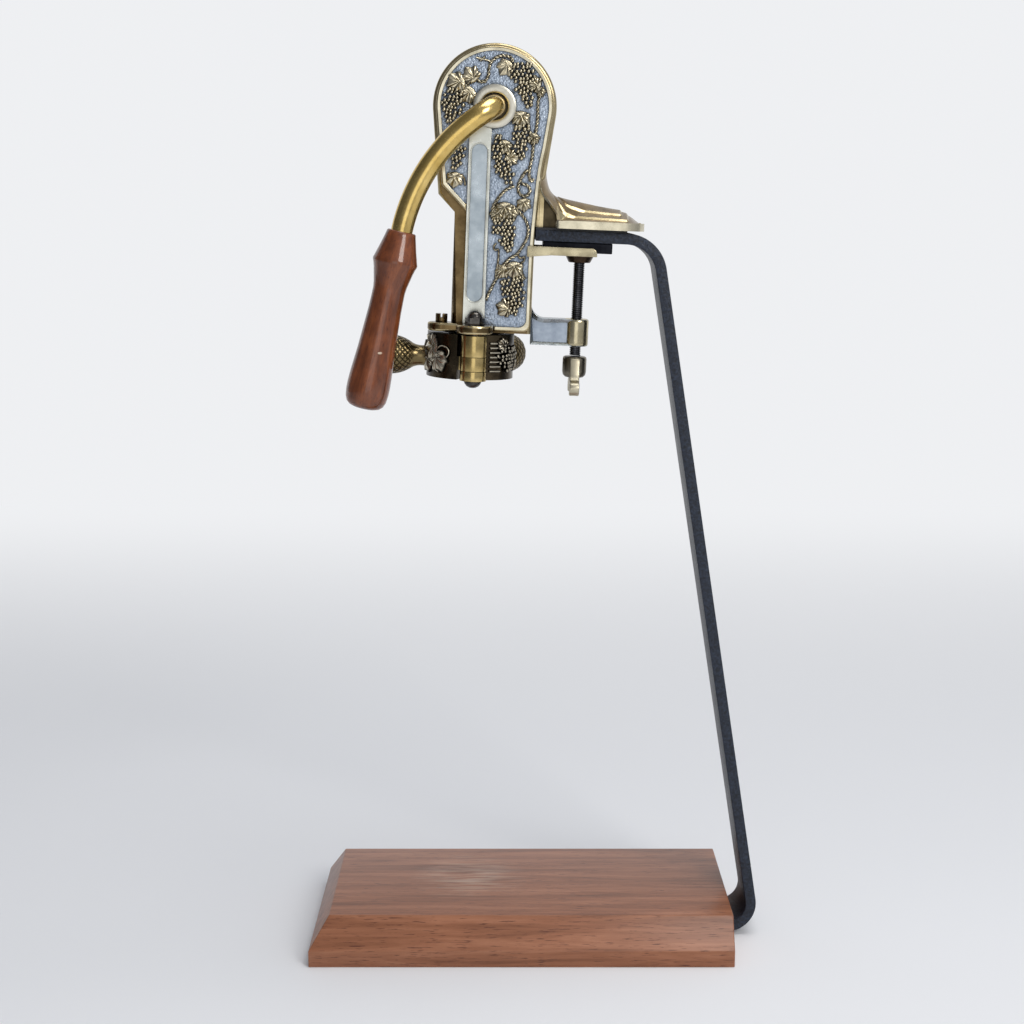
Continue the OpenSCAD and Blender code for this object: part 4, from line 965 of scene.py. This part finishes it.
# Stations along the hook: the x, z and half width of its edge, and the x and z of its ridge
stations = ((28, -27, 13.4, 30.3, -27), (27.6, -34.4, 15, 31.2, -34),
            (27.8, -40.9, 15.6, 31.9, -39.5), (29.6, -47.3, 16, 33.8, -45),
            (33.6, -52.2, 17.5, 37.3, -48.2), (37.4, -57.6, 21, 44.7, -50.2),
            (38.6, -62.1, 24, 58.4, -52.7), (45, -62.2, 24, 62, -53.3),
            (60, -62.2, 24, 70, -54.4), (79, -62.2, 24, 79, -55.7),
            (85.4, -62.2, 21.5, 84.9, -59.1), (88.9, -62.2, 14, 88.9, -62.2))
hook_under, pad_from, pad_lip, lip_h = -66.7, 38, -63.2, 1.5
terrace_h, terrace_run, tip_slope = 0.9, 0.7, 0.59
recess_half, recess_wall, recess_x, recess_mouth = 12.5, 16, 28.2, 30.5
root_x, root_z = 25.5, -29


def ease(a, b, x):
    """A smooth step from 0 at a to 1 at b."""
    t = max(0, min(1, (x - a) / (b - a)))
    return t * t * (3 - 2 * t)


def terrace(x, y, half, tip, end):
    """From 0 outside to 1 on top of a terrace with a point at its tip and a square end."""
    inside = min(half - abs(y), 0.86 * (x - tip - tip_slope * abs(y)), end - x)
    return ease(0, terrace_run, inside)


bm = bmesh.new()
bmesh.ops.create_grid(bm, x_segments=132, y_segments=60, size=1)
for v in bm.verts:
    s = (v.co.x + 1) / 2 * (len(stations) - 1)
    edge_at_x, edge_at_z, half, ridge_x, ridge_z = spline(stations, s)
    across = abs(v.co.y)
    crown = 1 - across ** (2 - 0.85 * ease(3, 6, s))
    x = edge_at_x + (ridge_x - edge_at_x) * crown
    z = edge_at_z + (ridge_z - edge_at_z) * crown
    y = half * v.co.y
    # Two pointed terraces stand one on the other along the pad
    below_top = 2 - terrace(x, y, 16, 33, 80) - terrace(x, y, 9.5, 38, 76)
    z -= terrace_h * ease(3.2, 5, s) * below_top * ease(0, 0.12, 1 - across)
    v.co = Vector((x, y, z)) * MM
bm.normal_update()
for face in bm.faces:
    if face.normal.z < 0.72 and face.calc_center_median().x > pad_from * MM:
        face.material_index = HOOK_EDGE


def skirt(bm, move):
    """Extrudes the open edge, moves it and gives back the new faces."""
    new = bmesh.ops.extrude_edge_only(bm, edges=[e for e in bm.edges if e.is_boundary])["geom"]
    for v in only(BMVert, new):
        v.co = Vector(move(*(v.co / MM))) * MM
    return only(BMFace, new)


lip = skirt(bm, lambda x, y, z: (x, y, z - lip_h))
inward = skirt(bm, lambda x, y, z: (x, max(-recess_half, min(recess_half, y)) if z > pad_lip else y, z))
sides = skirt(bm, lambda x, y, z: (root_x if z > root_z else max(x, recess_x), y, hook_under))
for face in lip + sides:
    face.material_index = HOOK_RIM
# The recess under the saddle takes a dark finish, as painted shade; its mouth takes the rubbed edge finish
for face in inward + sides:
    middle = face.calc_center_median() / MM
    if middle.x < pad_from and abs(middle.y) < recess_wall:
        face.material_index = HOOK_EDGE if middle.x < recess_mouth else HOOK_SHADED_RECESS
bmesh.ops.holes_fill(bm, edges=[e for e in bm.edges if e.is_boundary])
turn_out(bm)
make_piece("saddle_hook", placed(bm), hook_finishes, "stand", "hook_bronze", "table_hook")

# Bench clamp: a bracket with a threaded boss on the column, a black screw with a wing head,
# a bronze swivel cup, and a pressed brass shoe that pulls up on the key under the bar.
screw_x = 53
web_inset, web_depth, least_web = 2.6, 2.2, 100
arm_finish = antique("bracket_pewter", (0.22, 0.25, 0.27), (0.44, 0.475, 0.49), (0.2, 0.36))
boss_finish = antique("boss_pale_brass", (0.36, 0.31, 0.19), (0.62, 0.55, 0.37), (0.16, 0.3))
web_finish = antique("bracket_blue_web", (0.18, 0.215, 0.27), (0.35, 0.395, 0.45), (0.26, 0.42))
bm = solid_of("clamp_arm")
for face in [f for f in bm.faces if abs(f.normal.y) > 0.999 and f.calc_area() > least_web * MM * MM]:
    bmesh.ops.inset_region(bm, faces=[face], thickness=web_inset * MM, depth=-web_depth * MM,
                           use_even_offset=False)
    face.material_index = 1
make_piece("clamp_bracket", soften(bm, 0.5), [arm_finish, web_finish], "stand", "case_bronze", "clamp_arm")
bm = turned([(3.7, -119.2), (6.4, -119.2), (7.2, -120), (7.3, -121), (7.3, -133.5), (7.2, -134.5),
             (6.4, -135.2), (3.7, -135.2), (3.7, -119.2)])
make_piece("threaded_boss", placed(bm, at(screw_x, 0, 0)), [boss_finish], "stand", "case_bronze", sharp=50)
shoe_finish = antique("shoe_pale_brass", (0.34, 0.29, 0.175), (0.6, 0.53, 0.35), (0.2, 0.36))
bm = solid_of("clamp_shoe")
shoe_end = max((to_opener @ v.co).x for v in bm.verts) / MM
nose_z = -79.5


def shoe_nose(edge):
    """Picks the upper edge of the shoe's free end."""
    return all(p.x > shoe_end - 0.1 and p.z > nose_z for p in in_opener(edge))


soften(bm, 3.4, keep=shoe_nose, segments=5)
make_piece("clamp_plate", soften(bm, 0.3), [shoe_finish], "shoe", "shoe_brass", "clamp_shoe")
cup_finish = antique("cup_brown_bronze", (0.03, 0.02, 0.013), (0.1, 0.065, 0.04), (0.22, 0.4))
bm = soften(solid_of("swivel_cup"), 0.3)
make_piece("pressure_cup", bm, [cup_finish], "shoe", "cup_bronze", "swivel_cup")
thread_finish = metal("thread_black_oxide", (0.045, 0.044, 0.047), (0.15, 0.15, 0.16), (0.2, 0.34))
thread_top, thread_end, pitch, turn_steps = -83.7, -141.3, 1.25, 20
turns = int((thread_top - thread_end) / pitch - 1.2)
ridge = ((2.8, 0), (3.3, 0.32), (3.3, 0.78), (2.8, 1.1), (2.8, pitch))
bm = spun([(r * MM, (thread_end + z) * MM) for r, z in ridge], turns * turn_steps, turns,
          pitch * MM / turn_steps)
bmesh.ops.remove_doubles(bm, verts=bm.verts, dist=0.01 * MM)
bmesh.ops.holes_fill(bm, edges=[e for e in bm.edges if e.is_boundary])
turn_out(bm)
make_piece("clamp_thread", placed(bm, at(screw_x, 0, 0)), [thread_finish], "thumb_screw", "thread_black",
           "clamp_screw")
wing_finish = antique("wing_satin_brass", (0.36, 0.325, 0.235), (0.56, 0.51, 0.38), (0.32, 0.46))
hub_finish = antique("hub_grey_bronze", (0.1, 0.088, 0.068), (0.27, 0.24, 0.185), (0.24, 0.4))
wing_t = 5.8
wing_half = ((0, -0.7), (5.8, -0.7), (7.6, -1.6), (9, -6), (10.8, -11), (13, -13.6), (15.7, -14.6),
             (17.4, -17.6), (16.3, -20.6), (13.4, -22.3), (9.5, -21.5), (6, -18.4), (2.4, -15.2), (0, -14.6))
half = smooth(wing_half, 4)
outline = half + [Vector((-p.x, p.y)) for p in reversed(half[1:-1])]
bm = bmesh.new()
plate = bm.faces.new([bm.verts.new(Vector((-wing_t / 2, p.x, p.y)) * MM) for p in outline])
push(bm, [plate], (wing_t * MM, 0, 0))
turn_out(bm)
soften(bm, 0.6, least=60)
make_piece("wing_plate", placed(bm, at(screw_x, 0, thread_end)), [wing_finish], "thumb_screw", "shoe_brass")
bm = turned([(0, 0), (5.9, 0), (6.8, -0.5), (7.1, -1.6), (7.1, -9), (6.7, -11), (5.4, -12.3), (3, -12.7),
             (0, -12.7)])
make_piece("wing_head", placed(bm, at(screw_x, 0, thread_end)), [hub_finish], "thumb_screw", "shoe_brass",
           "thumb_wing", sharp=50)
